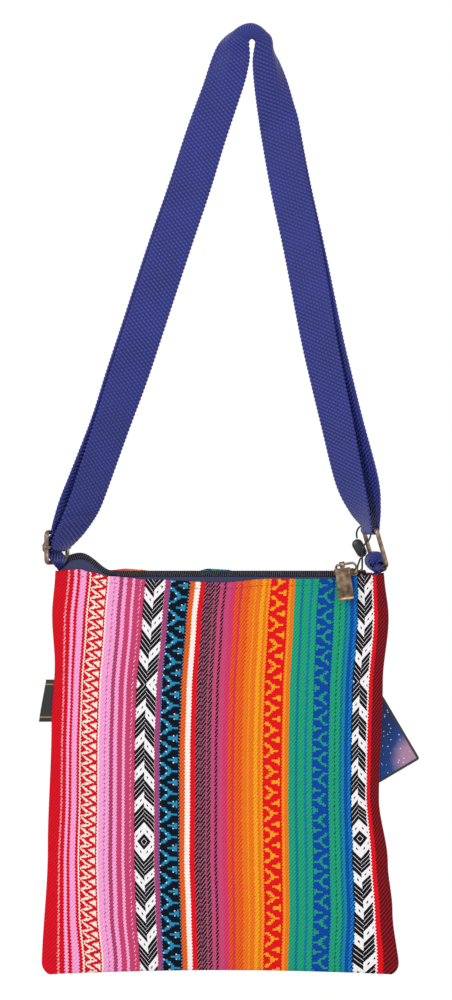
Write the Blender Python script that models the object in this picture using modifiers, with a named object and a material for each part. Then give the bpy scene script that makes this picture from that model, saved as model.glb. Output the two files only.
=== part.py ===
"""Striped crossbody bag that hangs by its doubled webbing strap.

Metres, +Z up, +X to the wearer's left as seen from the front, the front faces -Y.
The origin is the point of the strap that a hook or a hand holds.
"""
import math

import bmesh
import bpy
import numpy as np
from mathutils import Matrix, Vector

MM = 0.001

# Clearances and material thicknesses
GAP = 0.3 * MM
CLOTH = 1.2 * MM
LINING = 0.5 * MM
TAPE = 0.5 * MM
WEBBING = 1.3 * MM
WEBBING_WIDTH = 25.0 * MM

# The bag: a flat pouch that flares towards its base
BAG_LEFT = -125.4 * MM
BAG_WIDTH = 210.5 * MM
BAG_RIGHT = BAG_LEFT + BAG_WIDTH
BAG_TOP = -348.8 * MM
BAG_HEIGHT = 256.6 * MM
MOUTH_HALF_DEPTH = 5.6 * MM
BELLY_HALF_DEPTH = 8.2 * MM
SEAM_HALF_DEPTH = 1.2 * MM
BOTTOM_RISE = 2.8 * MM
CORNER_RADIUS = 8.0 * MM
SEAM_INSET = 7.0 * MM
CORNER_REACH = 25.0 * MM

# How far each side edge leans out, at shares of the bag's height
LEFT_FLARE = ((0.0, 0.0), (0.11, 2.0), (0.23, 0.3), (0.38, 2.4), (0.69, 4.8), (1.0, 8.8))
RIGHT_FLARE = ((0.0, 0.3), (0.11, 3.1), (0.27, -0.6), (0.56, -3.1), (0.72, 2.6), (0.84, 5.6), (1.0, 10.0))
# Each hem's height against BAG_TOP, at shares of the width from the left
FRONT_HEM = (
    (0.0, 1.9), (0.074, 2.9), (0.105, 1.2), (0.166, -1.6), (0.279, -3.5), (0.506, -5.6),
    (0.65, -3.2), (0.827, -3.2), (0.918, -1.7), (1.0, -0.3),
)

BACK_HEM = (
    (0.0, 0.4), (0.12, 2.2), (0.25, 1.8), (0.38, 0.4), (0.5, 0.6), (0.7, 1.4), (0.88, 1.0), (1.0, 0.4),
)

# Cloth stripes from the left edge: width in mm and colour; two colours make a patterned band
STRIPES = (
    (11.2, "red"), (1.5, "pink"), (1.7, "red"), (2.2, "pink"), (3.1, "red"), (11.7, "red/cream"),
    (9.9, "pink"), (12.3, "mauve"), (12.9, "black/white"), (1.9, "dark_mauve"), (13.9, "navy/blue"),
    (2.9, "orange"), (3.9, "cream"), (2.9, "red"), (6.5, "black"), (2.2, "mauve"),
    (3.8, "black"), (7.6, "mauve"), (4.9, "magenta"), (8.8, "orange"), (6.6, "amber"),
    (14.4, "red/amber"), (2.6, "orange"), (8.7, "green"), (5.8, "teal"), (12.2, "blue/green"),
    (5.6, "green"), (7.9, "teal"), (10.8, "black/white"), (2.6, "red"), (6.3, "maroon"),
)
BACK_CLOTH_SHIFT = 77.0 * MM
PATTERN_ROW = 26.0 * MM

# The zip: a coil chain rolled towards the front, straight along X over the slider's travel
CHAIN_LEVEL = BAG_TOP - 0.4 * MM
CHAIN_Y = -0.6 * MM
CHAIN_ROLL = math.radians(40.0)
CHAIN_WIDTH = 4.6 * MM
CHAIN_THICK = 1.8 * MM
TOOTH_PITCH = 2.6 * MM
TOOTH_DEPTH = 0.9 * MM
CHAIN_START = BAG_LEFT + 9.2 * MM
CHAIN_END = BAG_RIGHT - 11.9 * MM
HUMP_X = BAG_LEFT + 16.0 * MM
HUMP_RISE = 11.2 * MM
HUMP_LEFT = 29.0 * MM
HUMP_RIGHT = 21.5 * MM
TAPE_DEPTH = 11.0 * MM
TAPE_TURN = 4.1 * MM
TAPE_BELOW_HEM = 1.0 * MM
TAPE_LEAST_DROP = 2.0 * MM
TAPE_MOST_DROP = 6.0 * MM
FORK_OPEN = 1.2 * MM
FORK_LENGTH = 4.0 * MM
FORK_START = 0.3 * MM

# Slider and pull
SLIDER_X = BAG_RIGHT - 24.3 * MM
SLIDER_LENGTH = 15.6 * MM
SLIDER_WIDTH = 7.4 * MM
PLATE_THICK = 1.0 * MM
PLATE_GAP = CHAIN_THICK + 2 * GAP
POST_INSET = 1.3 * MM
POST_LENGTH = 1.8 * MM
POST_WIDTH = 0.9 * MM
CROWN_WIRE = 0.8 * MM
CROWN_RISE = 8.3 * MM
CROWN_SLOPE = math.radians(12.0)
PULL_X = SLIDER_X - 2.7 * MM
PULL_WIDTH = 9.7 * MM
PULL_LENGTH = 21.0 * MM
PULL_THICK = 1.4 * MM
PULL_NECK = 2.6 * MM
PULL_LEAN = math.radians(19.0)
KNUCKLE_WALL = 0.7 * MM
KNUCKLE_WIDTH = 3.2 * MM
STOP_LENGTH = 1.8 * MM
STOP_THICK = 0.6 * MM

# Slide buckle on the left, ring and tab on the right
SLIDE_CENTRE = Vector((BAG_LEFT + 1.2 * MM, 0.0, BAG_TOP + 16.9 * MM))
SLIDE_TURN = math.radians(-67.0)
SLIDE_WIRE = 1.45 * MM
SLIDE_BAR_RADIUS = 1.3 * MM
SLIDE_HALF_WIDTH = WEBBING_WIDTH / 2 + 3.0 * MM
SLIDE_HALF_HEIGHT = 9.7 * MM
COLLAR_RADIUS = 2.6 * MM
COLLAR_HEIGHT = 2.7 * MM
RING_CENTRE = Vector((BAG_RIGHT - 5.7 * MM, 0.0, BAG_TOP + 16.6 * MM))
RING_TURN = math.radians(-75.0)
RING_TILT = math.radians(16.7)
RING_WIRE = 1.4 * MM
RING_HALF_WIDTH = WEBBING_WIDTH / 2 + 1.9 * MM
RING_HALF_HEIGHT = 11.8 * MM
RING_CORNER = 2.4 * MM
SLIDE_CORNER = 2.8 * MM
GATHERED_WIDTH = WEBBING_WIDTH - 1.4 * MM
TAB_WIDTH = 19.0 * MM
TAB_X = BAG_RIGHT - 7.0 * MM
TAB_BASE_WIDTH = 5.6 * MM
STRAP_BASE_X = BAG_LEFT + 5.0 * MM
STRAP_BASE_WIDTH = 6.0 * MM
SEWN_DEPTH = 6.0 * MM
BASE_TURN = math.radians(-30.0)

# Strap legs as hung, from the top down: shares of the way across and down to the centre of the
# buckle or of the ring, and turn in degrees, of the outer and the inner layer
LEFT_OVER = ((0.2271, 0.2052, 0), (0.3092, 0.3055, 0), (0.4179, 0.4269, 0), (0.5628, 0.5926, -4),
             (0.6344, 0.6749, -15), (0.7133, 0.7605, -28), (0.8164, 0.8704, -36), (0.8567, 0.9190, -50))
LEFT_UNDER = ((0.2351, 0.2052, 0), (0.3229, 0.3055, 0), (0.4356, 0.4269, 0), (0.5805, 0.5926, -4),
              (0.6554, 0.6749, -15), (0.7351, 0.7605, -28), (0.8560, 0.8704, -36), (0.9243, 0.9190, -50))
RIGHT_OVER = ((0.2380, 0.2050, -10), (0.3111, 0.3052, -12), (0.4182, 0.4266, -15), (0.5428, 0.5921, -26),
              (0.6134, 0.6743, -32), (0.6927, 0.7598, -37), (0.7922, 0.8697, -46), (0.8715, 0.9256, -62))
RIGHT_UNDER = ((0.2468, 0.2050, -9), (0.3274, 0.3052, -11), (0.4408, 0.4266, -14), (0.5919, 0.5921, -25),
               (0.6763, 0.6743, -29), (0.7708, 0.7598, -34), (0.9068, 0.8697, -43), (0.9622, 0.9256, -60))
# Between the legs and the top: x, y and z, the fold's angle, and where the fold starts from the inner edge
LEFT_SHOULDER = ((-17.4, -1.4, -35.5, 6, 12.0), (-13.9, -2.6, -22.0, 24, 12.0), (-12.9, -3.0, -14.5, 42, 11.0))
RIGHT_SHOULDER = ((13.5, -3.2, -14.5, 84, 7.4), (13.3, -3.0, -22.0, 70, 9.4), (14.5, -2.0, -35.5, 48, 11.4),
                  (16.5, -1.3, -51.0, 25, 12.0))
# Over the hanging point the sections fan out from one centre, the outer part folded to the back:
# lean of the section, angle of the fold, and where the fold starts
CREST_FAN = ((-78, 70, 7.4), (-52, 88, 5.8), (-26, 100, 4.9), (0, 108, 4.5), (26, 110, 3.8),
             (52, 106, 3.6), (78, 96, 5.0))
FAN_X = 0.7 * MM
FAN_RADIUS = 2.0 * MM
FOLD_RADIUS = 5.5 * MM
CREST_STEP = WEBBING + 1.0 * MM
FLAT_FOLD_START = 12.0 * MM
LOOSE_STEP = WEBBING + 2 * GAP
# Where the points of a section lie, as shares of the width from the inner edge
SECTION_SHARES = (0.0, 0.4, 0.54, 0.68, 0.82, 1.0)
SEWN_END = SLIDE_CENTRE + Vector((11.4, 0.4, 23.0)) * MM

# Label, card, cord and seal
LABEL_TOP = BAG_TOP - 67.8 * MM
LABEL_HEIGHT = 27.0 * MM
LABEL_PROUD_TOP = 5.0 * MM
LABEL_PROUD_BOTTOM = 7.8 * MM
LABEL_THICK = 0.9 * MM
CORD_WIRE = 0.6 * MM
CARD_CORNER = RING_CENTRE + Vector((29.2, 0.0, -135.8)) * MM
CARD_ROUNDING = 1.5 * MM
CARD_TILT = math.radians(30.5)
CARD_WIDTH = 51.0 * MM
CARD_HEIGHT = 90.0 * MM
CARD_THICK = 1.0 * MM
CARD_Y = BELLY_HALF_DEPTH + CLOTH / 2 + CARD_THICK / 2 + 2 * CORD_WIRE + 2 * GAP
HOLE_INSET = 7.5 * MM
HOLE_RADIUS = 2.2 * MM
# The cord's route in mm from the ring's centre: from the seal round the far bar, to the card and back
CORD_ROUTE = (
    (-11.0, 18.0, 5.8), (-11.2, 18.0, 9.6), (-9.6, 18.6, 12.8), (-6.4, 19.0, 13.9),
    (-3.2, 18.4, 12.0), (-2.2, 16.2, 8.6), (-3.0, 13.2, 5.8), (-4.4, 11.2, 3.9),
    (-7.0, 10.8, 1.0), (-7.8, 11.8, -2.6), (-7.8, 11.8, -9.3), (-8.2, 10.2, -16.4),
    (-9.9, 10.8, -28.0), (-13.2, 12.6, -44.6), (-16.6, 13.4, -58.2), (-18.4, 13.2, -65.9),
    (-19.1, 11.1, -68.7), (-19.8, 9.4, -66.1), (-19.2, 9.2, -58.5), (-16.6, 9.1, -44.8),
    (-13.4, 8.9, -30.3), (-11.5, 9.4, -17.4), (-10.8, 11.6, -12.4), (-9.8, 15.4, -9.6),
    (-8.6, 17.8, -6.8),
)
# The seal's two lobes: the place of each from the ring's centre, and its radius
SEAL_LOBES = (((-10.6, 18.0, 1.8), 3.6), ((-8.0, 18.0, -3.0), 3.4))
SEAL_THICK = 3.4 * MM

COLOURS = {
    "red": "#D8142A", "pink": "#F0A0D2", "cream": "#F4E8D0",
    "mauve": "#B0567E", "dark_mauve": "#8E3F6A", "magenta": "#C42D6B", "black": "#1C1618",
    "white": "#F0EEF0", "navy": "#16263F", "blue": "#1787C0", "orange": "#F1731F",
    "amber": "#F8A621", "green": "#1FA37B", "teal": "#137FA0", "maroon": "#7A1420",
    "strap_blue": "#2C3090", "tape_navy": "#2A2F4F", "coil_black": "#2B2733",
    "brass": "#8C7355", "label_black": "#17161A", "card_face": "#4C62B4",
    "seal_black": "#1B1A1C",
}


def linear(value):
    return value / 12.92 if value <= 0.04045 else ((value + 0.055) / 1.055) ** 2.4


def material(name, roughness=0.85, metallic=0.0):
    """One Principled material for each named colour."""
    found = bpy.data.materials.get(name)
    if found:
        return found
    code = COLOURS[name].lstrip("#")
    channels = [linear(int(code[i:i + 2], 16) / 255) for i in (0, 2, 4)]
    made = bpy.data.materials.new(name)
    made.use_nodes = True
    shader = made.node_tree.nodes["Principled BSDF"]
    shader.inputs["Base Color"].default_value = (*channels, 1.0)
    shader.inputs["Roughness"].default_value = roughness
    shader.inputs["Metallic"].default_value = metallic
    return made


def brass():
    return material("brass", roughness=0.38, metallic=1.0)


def clear_scene():
    for old in list(bpy.data.objects):
        bpy.data.objects.remove(old, do_unlink=True)


def new_collection(name):
    made = bpy.data.collections.new(name)
    bpy.context.scene.collection.children.link(made)
    return made


def add_object(name, data, *materials):
    piece = bpy.data.objects.new(name, data)
    BAG.objects.link(piece)
    for each in materials:
        data.materials.append(each)
    return piece


def add_cutter(name, mesh):
    piece = bpy.data.objects.new(name, mesh)
    CUTTERS.objects.link(piece)
    piece.hide_render = True
    piece.display_type = "WIRE"
    return piece


def along(table, where, unit=1.0):
    """A smooth value between the points of a small table."""
    places = [row[0] for row in table]
    index = max(0, min(len(places) - 2, int(np.searchsorted(places, where, side="right")) - 1))
    span = places[index + 1] - places[index]
    share = min(1.0, max(0.0, (where - places[index]) / span))
    share = share * share * (3 - 2 * share)
    low = table[index][1]
    high = table[index + 1][1]
    return (low + (high - low) * share) * unit


def smooth_curve(points, steps):
    """Catmull-Rom through rows of numbers; steps says how many spans each stretch gets."""
    rows = [np.array(p, dtype=float) for p in points]
    ends = [2 * rows[0] - rows[1]] + rows + [2 * rows[-1] - rows[-2]]
    result = []
    for i in range(1, len(ends) - 2):
        before, start, end, after = ends[i - 1:i + 3]
        count = steps[i - 1] if isinstance(steps, (list, tuple)) else steps
        for k in range(count):
            t = k / count
            result.append(0.5 * (2 * start + (end - before) * t
                                 + (2 * before - 5 * start + 4 * end - after) * t * t
                                 + (3 * start - before - 3 * end + after) * t ** 3))
    result.append(rows[-1])
    return result


def sheet(name, rows, thickness, *materials, paint=None):
    """An open loft through rows of points, thickened to a closed cloth."""
    shape = bmesh.new()
    grid = [[shape.verts.new(point) for point in row] for row in rows]
    for r in range(len(grid) - 1):
        for c in range(len(grid[r]) - 1):
            face = shape.faces.new((grid[r][c], grid[r + 1][c], grid[r + 1][c + 1], grid[r][c + 1]))
            face.material_index = paint(r, c) if paint else 0
            face.smooth = True
    mesh = bpy.data.meshes.new(name)
    shape.to_mesh(mesh)
    shape.free()
    piece = add_object(name, mesh, *materials)
    wall = piece.modifiers.new("thickness", "SOLIDIFY")
    wall.thickness = thickness
    wall.offset = 0.0
    return piece


def wire(name, points, radius, *materials, cyclic=False, sides=2):
    """A round wire along a polyline, left as a curve with filled caps."""
    curve = bpy.data.curves.new(name, "CURVE")
    curve.dimensions = "3D"
    curve.bevel_depth = radius
    curve.bevel_resolution = sides
    curve.use_fill_caps = True
    line = curve.splines.new("POLY")
    line.points.add(len(points) - 1)
    for slot, point in zip(line.points, points):
        slot.co = (*point, 1.0)
    line.use_cyclic_u = cyclic
    return add_object(name, curve, *materials)


def as_mesh(piece):
    """A wire turned to a mesh, its caps welded, so that it can be cut or joined."""
    graph = bpy.context.evaluated_depsgraph_get()
    mesh = bpy.data.meshes.new_from_object(piece.evaluated_get(graph))
    shape = bmesh.new()
    shape.from_mesh(mesh)
    bmesh.ops.remove_doubles(shape, verts=shape.verts, dist=0.00001)
    bmesh.ops.recalc_face_normals(shape, faces=shape.faces)
    shape.to_mesh(mesh)
    shape.free()
    name = piece.name
    materials = list(piece.data.materials)
    place = piece.matrix_world.copy()
    bpy.data.objects.remove(piece, do_unlink=True)
    mesh.materials.clear()
    made = add_object(name, mesh, *materials)
    made.matrix_world = place
    return made


def block_mesh(name, size, place=Matrix.Identity(4)):
    shape = bmesh.new()
    bmesh.ops.create_cube(shape, size=1.0, matrix=place @ Matrix.Diagonal((*size, 1.0)))
    mesh = bpy.data.meshes.new(name)
    shape.to_mesh(mesh)
    shape.free()
    return mesh


def rod_mesh(name, radius, length, place=Matrix.Identity(4), segments=20):
    shape = bmesh.new()
    bmesh.ops.create_cone(shape, cap_ends=True, segments=segments, radius1=radius, radius2=radius,
                          depth=length, matrix=place)
    mesh = bpy.data.meshes.new(name)
    shape.to_mesh(mesh)
    shape.free()
    return mesh


def boolean(piece, other, operation):
    step = piece.modifiers.new(operation.lower(), "BOOLEAN")
    step.operation = operation
    step.solver = "EXACT"
    step.object = other


def soften(piece, width, segments=2):
    edge = piece.modifiers.new("edge", "BEVEL")
    edge.width = width
    edge.segments = segments
    edge.limit_method = "ANGLE"
    edge.angle_limit = math.radians(40)


def placed(origin, across, up, normal):
    """A matrix whose X, Y and Z columns are the given unit directions."""
    frame = Matrix((across, up, normal)).transposed().to_4x4()
    frame.translation = origin
    return frame


# The bag's cloth surface

def side_edges(share):
    left = BAG_LEFT - along(LEFT_FLARE, share, MM)
    right = BAG_RIGHT + along(RIGHT_FLARE, share, MM)
    return left, right


def front_hem(x):
    return BAG_TOP + along(FRONT_HEM, (x - BAG_LEFT) / BAG_WIDTH, MM)


def back_hem(x):
    return BAG_TOP + along(BACK_HEM, (x - BAG_LEFT) / BAG_WIDTH, MM)


def bottom_edge(across):
    return BAG_TOP - BAG_HEIGHT + BOTTOM_RISE * math.sin(math.pi * across)


def half_depth(across, down):
    """Half the bag's thickness at the middle of the cloth."""
    from_middle = abs(2 * across - 1)
    power = 8 + 16 * max(0.0, 1 - down / 0.15)
    rise = math.sin(min(1.0, down / 0.5) * math.pi / 2)
    full = MOUTH_HALF_DEPTH + (BELLY_HALF_DEPTH - MOUTH_HALF_DEPTH) * rise - SEAM_HALF_DEPTH
    return SEAM_HALF_DEPTH + full * (1 - from_middle ** power) * (1 - down ** 10)


def cloth_point(across, down, hem, facing, inset=0.0, inward=0.0):
    """A point of a panel: across 0 to 1 from the left, down 0 to 1 from the hem."""
    left, right = side_edges(down)
    left += inset
    right -= inset
    x = left + across * (right - left)
    height = hem(x) - bottom_edge(across) - inset
    to_bottom = (1 - down) * height
    if to_bottom < CORNER_RADIUS:
        pull_in = CORNER_RADIUS - math.sqrt(CORNER_RADIUS ** 2 - (CORNER_RADIUS - to_bottom) ** 2)
        near_left = max(0.0, 1 - (x - left) / CORNER_REACH)
        near_right = max(0.0, 1 - (right - x) / CORNER_REACH)
        x += pull_in * (near_left ** 2 - near_right ** 2)
    whole_left, whole_right = side_edges(down)
    place = (x - whole_left) / (whole_right - whole_left) if inset else across
    z = hem(x) - down * height
    depth = half_depth(place, down * (1 - inset / BAG_HEIGHT)) - inward
    return Vector((x, facing * max(depth, SEAM_HALF_DEPTH - inward, GAP / 2 + LINING / 2), z))


def stripe_columns(shift):
    """Column edges as shares of the width, and each column's one or two colours."""
    total = sum(width for width, _ in STRIPES)
    edges = [0.0]
    names = []
    start = (shift / MM) % total
    run = []
    place = 0.0
    for width, colour in STRIPES * 2:
        low = max(place, start)
        high = min(place + width, start + total)
        if high > low:
            run.append((high - low, colour))
        place += width
    for width, colour in run:
        edges.append(edges[-1] + width / total)
        names.append(colour)
    return edges, names


def down_shares():
    """Row places: close at the hem and at the bottom seam, even between."""
    height = BAG_HEIGHT
    rows = [0.0, 3 * MM / height, 9 * MM / height]
    step = PATTERN_ROW / height
    while rows[-1] + step < 1 - 14 * MM / height:
        rows.append(rows[-1] + step)
    rows += [1 - d * MM / height for d in (8.0, 4.0, 1.6, 0.0)]
    return rows


def panel(name, hem, facing, shift):
    edges, names = stripe_columns(shift)
    beside_seam = [2.2 * MM / BAG_WIDTH, 6.5 * MM / BAG_WIDTH]
    shares = sorted(edges + beside_seam + [1 - share for share in beside_seam])
    used = sorted({part for entry in names for part in entry.split("/")})
    downs = down_shares()

    def paint(row, column):
        middle = (shares[column] + shares[column + 1]) / 2
        slot = max(i for i, edge in enumerate(edges) if edge <= middle)
        parts = names[min(slot, len(names) - 1)].split("/")
        return used.index(parts[row % len(parts)])

    rows = [[cloth_point(a, d, hem, facing) for a in shares] for d in downs]
    return sheet(name, rows, CLOTH, *[material(part) for part in used], paint=paint)


def lining(name, hem, facing):
    inward = CLOTH / 2 + GAP + TAPE + GAP + LINING / 2
    shares = [0.0, 0.04, 0.1, 0.25, 0.5, 0.75, 0.9, 0.96, 1.0]
    downs = [0.03, 0.12, 0.3, 0.5, 0.7, 0.86, 0.93, 0.975, 1.0]
    rows = [[cloth_point(a, d, hem, facing, SEAM_INSET, inward) for a in shares] for d in downs]
    return sheet(name, rows, LINING, material("tape_navy"))


# The zip

def hump(x):
    reach = HUMP_LEFT if x < HUMP_X else HUMP_RIGHT
    share = min(1.0, abs(x - HUMP_X) / reach)
    return HUMP_RISE * math.cos(share * math.pi / 2) ** 2


def chain_point(x, sideways, height=0.0):
    """A point at the chain: sideways towards the back, height out of the rolled chain."""
    y = CHAIN_Y + sideways * math.cos(CHAIN_ROLL) - height * math.sin(CHAIN_ROLL)
    z = CHAIN_LEVEL + hump(x) + sideways * math.sin(CHAIN_ROLL) + height * math.cos(CHAIN_ROLL)
    return Vector((x, y, z))


def fork(x):
    """How far each coil stands off the middle right of the slider's post."""
    share = min(1.0, max(0.0, (x - SLIDER_X - FORK_START) / FORK_LENGTH))
    return FORK_OPEN * share * share * (3 - 2 * share)


def coil(name, facing):
    """One coil: a rail whose inner edge is the row of teeth that the other coil meshes with."""
    count = int((CHAIN_END - CHAIN_START) / TOOTH_PITCH) * 2
    rows = []
    for k in range(count + 1):
        x = CHAIN_START + k * TOOTH_PITCH / 2
        tooth = TOOTH_DEPTH / 2 * (1 if k % 2 else -1)
        outer = facing * (CHAIN_WIDTH / 2 + fork(x))
        inner = facing * (GAP / 2 + fork(x)) + tooth
        rows.append([chain_point(x, outer), chain_point(x, inner)])
    return sheet(name, rows, CHAIN_THICK, material("coil_black"))


def tape(name, facing, hem):
    """A tape: flat through the slider, then down inside the panel."""
    marks = [(CHAIN_START, 9), (HUMP_X + HUMP_RIGHT, 8), (SLIDER_X + FORK_START, 5),
             (SLIDER_X + FORK_START + FORK_LENGTH, 2), (CHAIN_END, 0)]
    xs = [low + (high - low) * k / steps for (low, steps), (high, _) in zip(marks, marks[1:]) for k in range(steps)]
    xs.append(CHAIN_END)
    rows = []
    for x in xs:
        share = (x - BAG_LEFT) / BAG_WIDTH
        inside = min(half_depth(share, 0.02) - CLOTH / 2 - GAP - TAPE / 2, MOUTH_HALF_DEPTH)
        edge = chain_point(x, facing * (CHAIN_WIDTH / 2 + GAP + fork(x)))
        turn = chain_point(x, facing * (TAPE_TURN + fork(x) / 2))
        drop = min(turn.z - TAPE_LEAST_DROP, max(hem(x) - TAPE_BELOW_HEM, turn.z - TAPE_MOST_DROP))
        rows.append([
            edge,
            turn,
            Vector((x, facing * inside, drop)),
            Vector((x, facing * inside, hem(x) - TAPE_DEPTH)),
        ])
    return sheet(name, rows, TAPE, material("tape_navy"))


def stop(name, x, sideways, width):
    """A metal stop that sits on the chain's outer face."""
    height = CHAIN_THICK / 2 + GAP + STOP_THICK / 2
    frame = placed(chain_point(x, sideways, height), Vector((1, 0, 0)), roll_across(), roll_out())
    mesh = block_mesh(name, (STOP_LENGTH, width, STOP_THICK), frame)
    piece = add_object(name, mesh, brass())
    soften(piece, 0.2 * MM, 1)
    return piece


def roll_across():
    return Vector((0, math.cos(CHAIN_ROLL), math.sin(CHAIN_ROLL)))


def roll_out():
    return Vector((0, -math.sin(CHAIN_ROLL), math.cos(CHAIN_ROLL)))


def slider_outline():
    """The plates seen from above: narrow at the closed end, wide shoulders at the open end."""
    half = SLIDER_WIDTH / 2
    end = SLIDER_LENGTH / 2
    right = [(end, 0.45), (end - 1.4 * MM, 0.86), (end - 3.4 * MM, 1.0), (0.0, 0.98)]
    left = [(-end + 2.0 * MM, 0.9), (-end + 0.5 * MM, 0.8), (-end, 0.55)]
    upper = [(x, half * share) for x, share in right + left]
    return upper + [(x, -y) for x, y in reversed(upper)]


def slider():
    """Cast slider: two plates, side flanges round the chain, a post, and the crown over it."""
    outline = slider_outline()
    thick = PLATE_GAP + 2 * PLATE_THICK
    shape = bmesh.new()
    face = shape.faces.new([shape.verts.new((x, y, -thick / 2)) for x, y in outline])
    lift = bmesh.ops.extrude_face_region(shape, geom=[face])
    top = [v for v in lift["geom"] if isinstance(v, bmesh.types.BMVert)]
    bmesh.ops.translate(shape, verts=top, vec=(0, 0, thick))
    bmesh.ops.recalc_face_normals(shape, faces=shape.faces)
    mesh = bpy.data.meshes.new("slider_body")
    shape.to_mesh(mesh)
    shape.free()
    frame = placed(chain_point(SLIDER_X, 0.0), Vector((1, 0, 0)), roll_across(), roll_out())
    body = add_object("slider_body", mesh, brass())
    body.matrix_world = frame
    soften(body, 0.35 * MM, 2)

    long = 2 * SLIDER_LENGTH
    wall = (SLIDER_WIDTH - CHAIN_WIDTH - 2 * GAP) / 2
    channel = add_cutter("slider_channel", block_mesh("channel", (long, SLIDER_WIDTH - 2 * wall, PLATE_GAP)))
    slots = add_cutter("slider_tape_slots", block_mesh("slots", (long, long, TAPE + 2 * GAP)))
    fork_box = Matrix.Translation((SLIDER_LENGTH / 2 + 1.4 * MM, 0, 0))
    mouth = add_cutter("slider_mouth", block_mesh("mouth", (SLIDER_LENGTH, long, PLATE_GAP), fork_box))
    for tool in (channel, slots, mouth):
        tool.matrix_world = frame
        boolean(body, tool, "DIFFERENCE")

    foot = SLIDER_LENGTH / 2 - POST_INSET
    post_mesh = block_mesh("post", (POST_LENGTH, POST_WIDTH, PLATE_GAP + PLATE_THICK), Matrix.Translation((foot, 0, 0)))
    post = add_cutter("slider_post", post_mesh)
    post.matrix_world = frame
    boolean(body, post, "UNION")

    base = PLATE_GAP / 2 + PLATE_THICK / 2
    rise = CROWN_RISE
    slope = math.tan(CROWN_SLOPE)
    bar = [(x, rise + (x - (PULL_X - SLIDER_X)) * slope) for x in (1.6 * MM - foot, 3.2 * MM)]
    points = [(-foot, base), (0.1 * MM - foot, rise - 2.0 * MM), (0.5 * MM - foot, rise - 0.9 * MM)] + bar
    points += [(4.4 * MM, bar[1][1] - 0.1 * MM), (5.4 * MM, bar[1][1] - 0.9 * MM), (foot, rise - 1.6 * MM),
               (foot - 0.3 * MM, base)]
    crown = wire("slider_crown", [(x, 0, z) for x, z in points], CROWN_WIRE, brass())
    crown.matrix_world = frame
    crown = as_mesh(crown)
    BAG.objects.unlink(crown)
    CUTTERS.objects.link(crown)
    crown.hide_render = True
    crown.display_type = "WIRE"
    boolean(body, crown, "UNION")
    return body


def crown_axis():
    """The straight top of the crown that the pull turns on."""
    outward = roll_out()
    direction = (Vector((1, 0, 0)) * math.cos(CROWN_SLOPE) + outward * math.sin(CROWN_SLOPE)).normalized()
    return chain_point(PULL_X, 0.0, CROWN_RISE), direction


def pull():
    """Cast pull: knuckle on the crown, open eye beside it, long plate with a thick lower rim."""
    pivot, axis = crown_axis()
    hang = Vector((0, -math.sin(PULL_LEAN), -math.cos(PULL_LEAN)))
    down = (hang - axis * hang.dot(axis)).normalized()
    out = down.cross(axis).normalized()
    frame = placed(pivot, axis, -down, out)

    inner = CROWN_WIRE + GAP
    outer = inner + KNUCKLE_WALL
    turn = Matrix.Rotation(math.radians(90), 4, "Y")
    knuckle_mesh = rod_mesh("knuckle", outer, KNUCKLE_WIDTH, turn)
    body = add_object("zip_pull", knuckle_mesh, brass())
    body.matrix_world = frame

    middle = PULL_NECK + PULL_LENGTH / 2
    plate = add_cutter("pull_plate", block_mesh(
        "plate", (PULL_WIDTH, PULL_LENGTH, PULL_THICK), Matrix.Translation((0, -middle, 0))))
    soften(plate, 0.4 * MM, 2)
    rim = add_cutter("pull_rim", rod_mesh("rim", PULL_THICK * 0.72, PULL_WIDTH - 0.4 * MM, Matrix.Translation(
        (0, -PULL_NECK - PULL_LENGTH + 0.6 * MM, 0)) @ turn, 12))
    neck = add_cutter("pull_neck", block_mesh(
        "neck", (KNUCKLE_WIDTH - 0.6 * MM, PULL_NECK + 1.2 * MM, PULL_THICK),
        Matrix.Translation((0, -(PULL_NECK + 1.2 * MM) / 2 - CROWN_WIRE, 0))))
    bore = add_cutter("pull_bore", rod_mesh("bore", inner, 3 * KNUCKLE_WIDTH, turn, 16))
    for tool in (plate, rim, neck):
        tool.matrix_world = frame
        boolean(body, tool, "UNION")
    bore.matrix_world = frame
    boolean(body, bore, "DIFFERENCE")
    return body


# Webbing

def ribbon_frame(turn, outward, back=Vector((0, 1, 0))):
    """Across and normal directions of webbing that is turned about its own length."""
    across = outward * math.cos(turn) + back * math.sin(turn)
    normal = outward * math.sin(turn) - back * math.cos(turn)
    return across, normal


def station(centre, across, normal, fold=0.0, start=FLAT_FOLD_START, radius=FOLD_RADIUS, width=WEBBING_WIDTH):
    """One control section of webbing as a row of numbers that can be interpolated."""
    return (*centre, *across, *normal, fold, start, radius, width)


def folded_point(run, fold, start, radius):
    """Where a point of the width lies: along the flat inner part, and away from its normal."""
    turned = min(fold, max(0.0, (run - start) / radius))
    beyond = max(0.0, run - start - radius * fold)
    flat = min(run, start)
    return (flat + radius * math.sin(turned) + beyond * math.cos(fold),
            radius * (1 - math.cos(turned)) + beyond * math.sin(fold))


def webbing(name, stations, steps):
    """Webbing swept through its sections; a fold turns the outer part away from the normal."""
    rows = []
    for row in smooth_curve(stations, steps):
        centre = Vector(row[0:3])
        across = Vector(row[3:6]).normalized()
        normal = Vector(row[6:9])
        normal = (normal - across * normal.dot(across)).normalized()
        fold, start, radius, width = row[9:13]
        line = []
        for share in SECTION_SHARES:
            side, drop = folded_point(share * width, max(0.0, fold), start, radius)
            line.append(centre + across * (side - width / 2) - normal * drop)
        rows.append(line)
    return sheet(name, rows, WEBBING, material("strap_blue"))


def leg(table, towards):
    """Control sections of one strap leg, from the top down."""
    fitting = SLIDE_CENTRE if towards < 0 else RING_CENTRE
    points = [Vector((x * fitting.x, 0.0, z * fitting.z)) for x, z, _ in table]
    result = []
    for i, (_, _, turn) in enumerate(table):
        run = points[min(i + 1, len(points) - 1)] - points[max(i - 1, 0)]
        outward = Vector((towards * abs(run.z), 0.0, abs(run.x))).normalized()
        across, normal = ribbon_frame(math.radians(turn), outward)
        result.append((points[i], across, normal))
    return result


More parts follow.
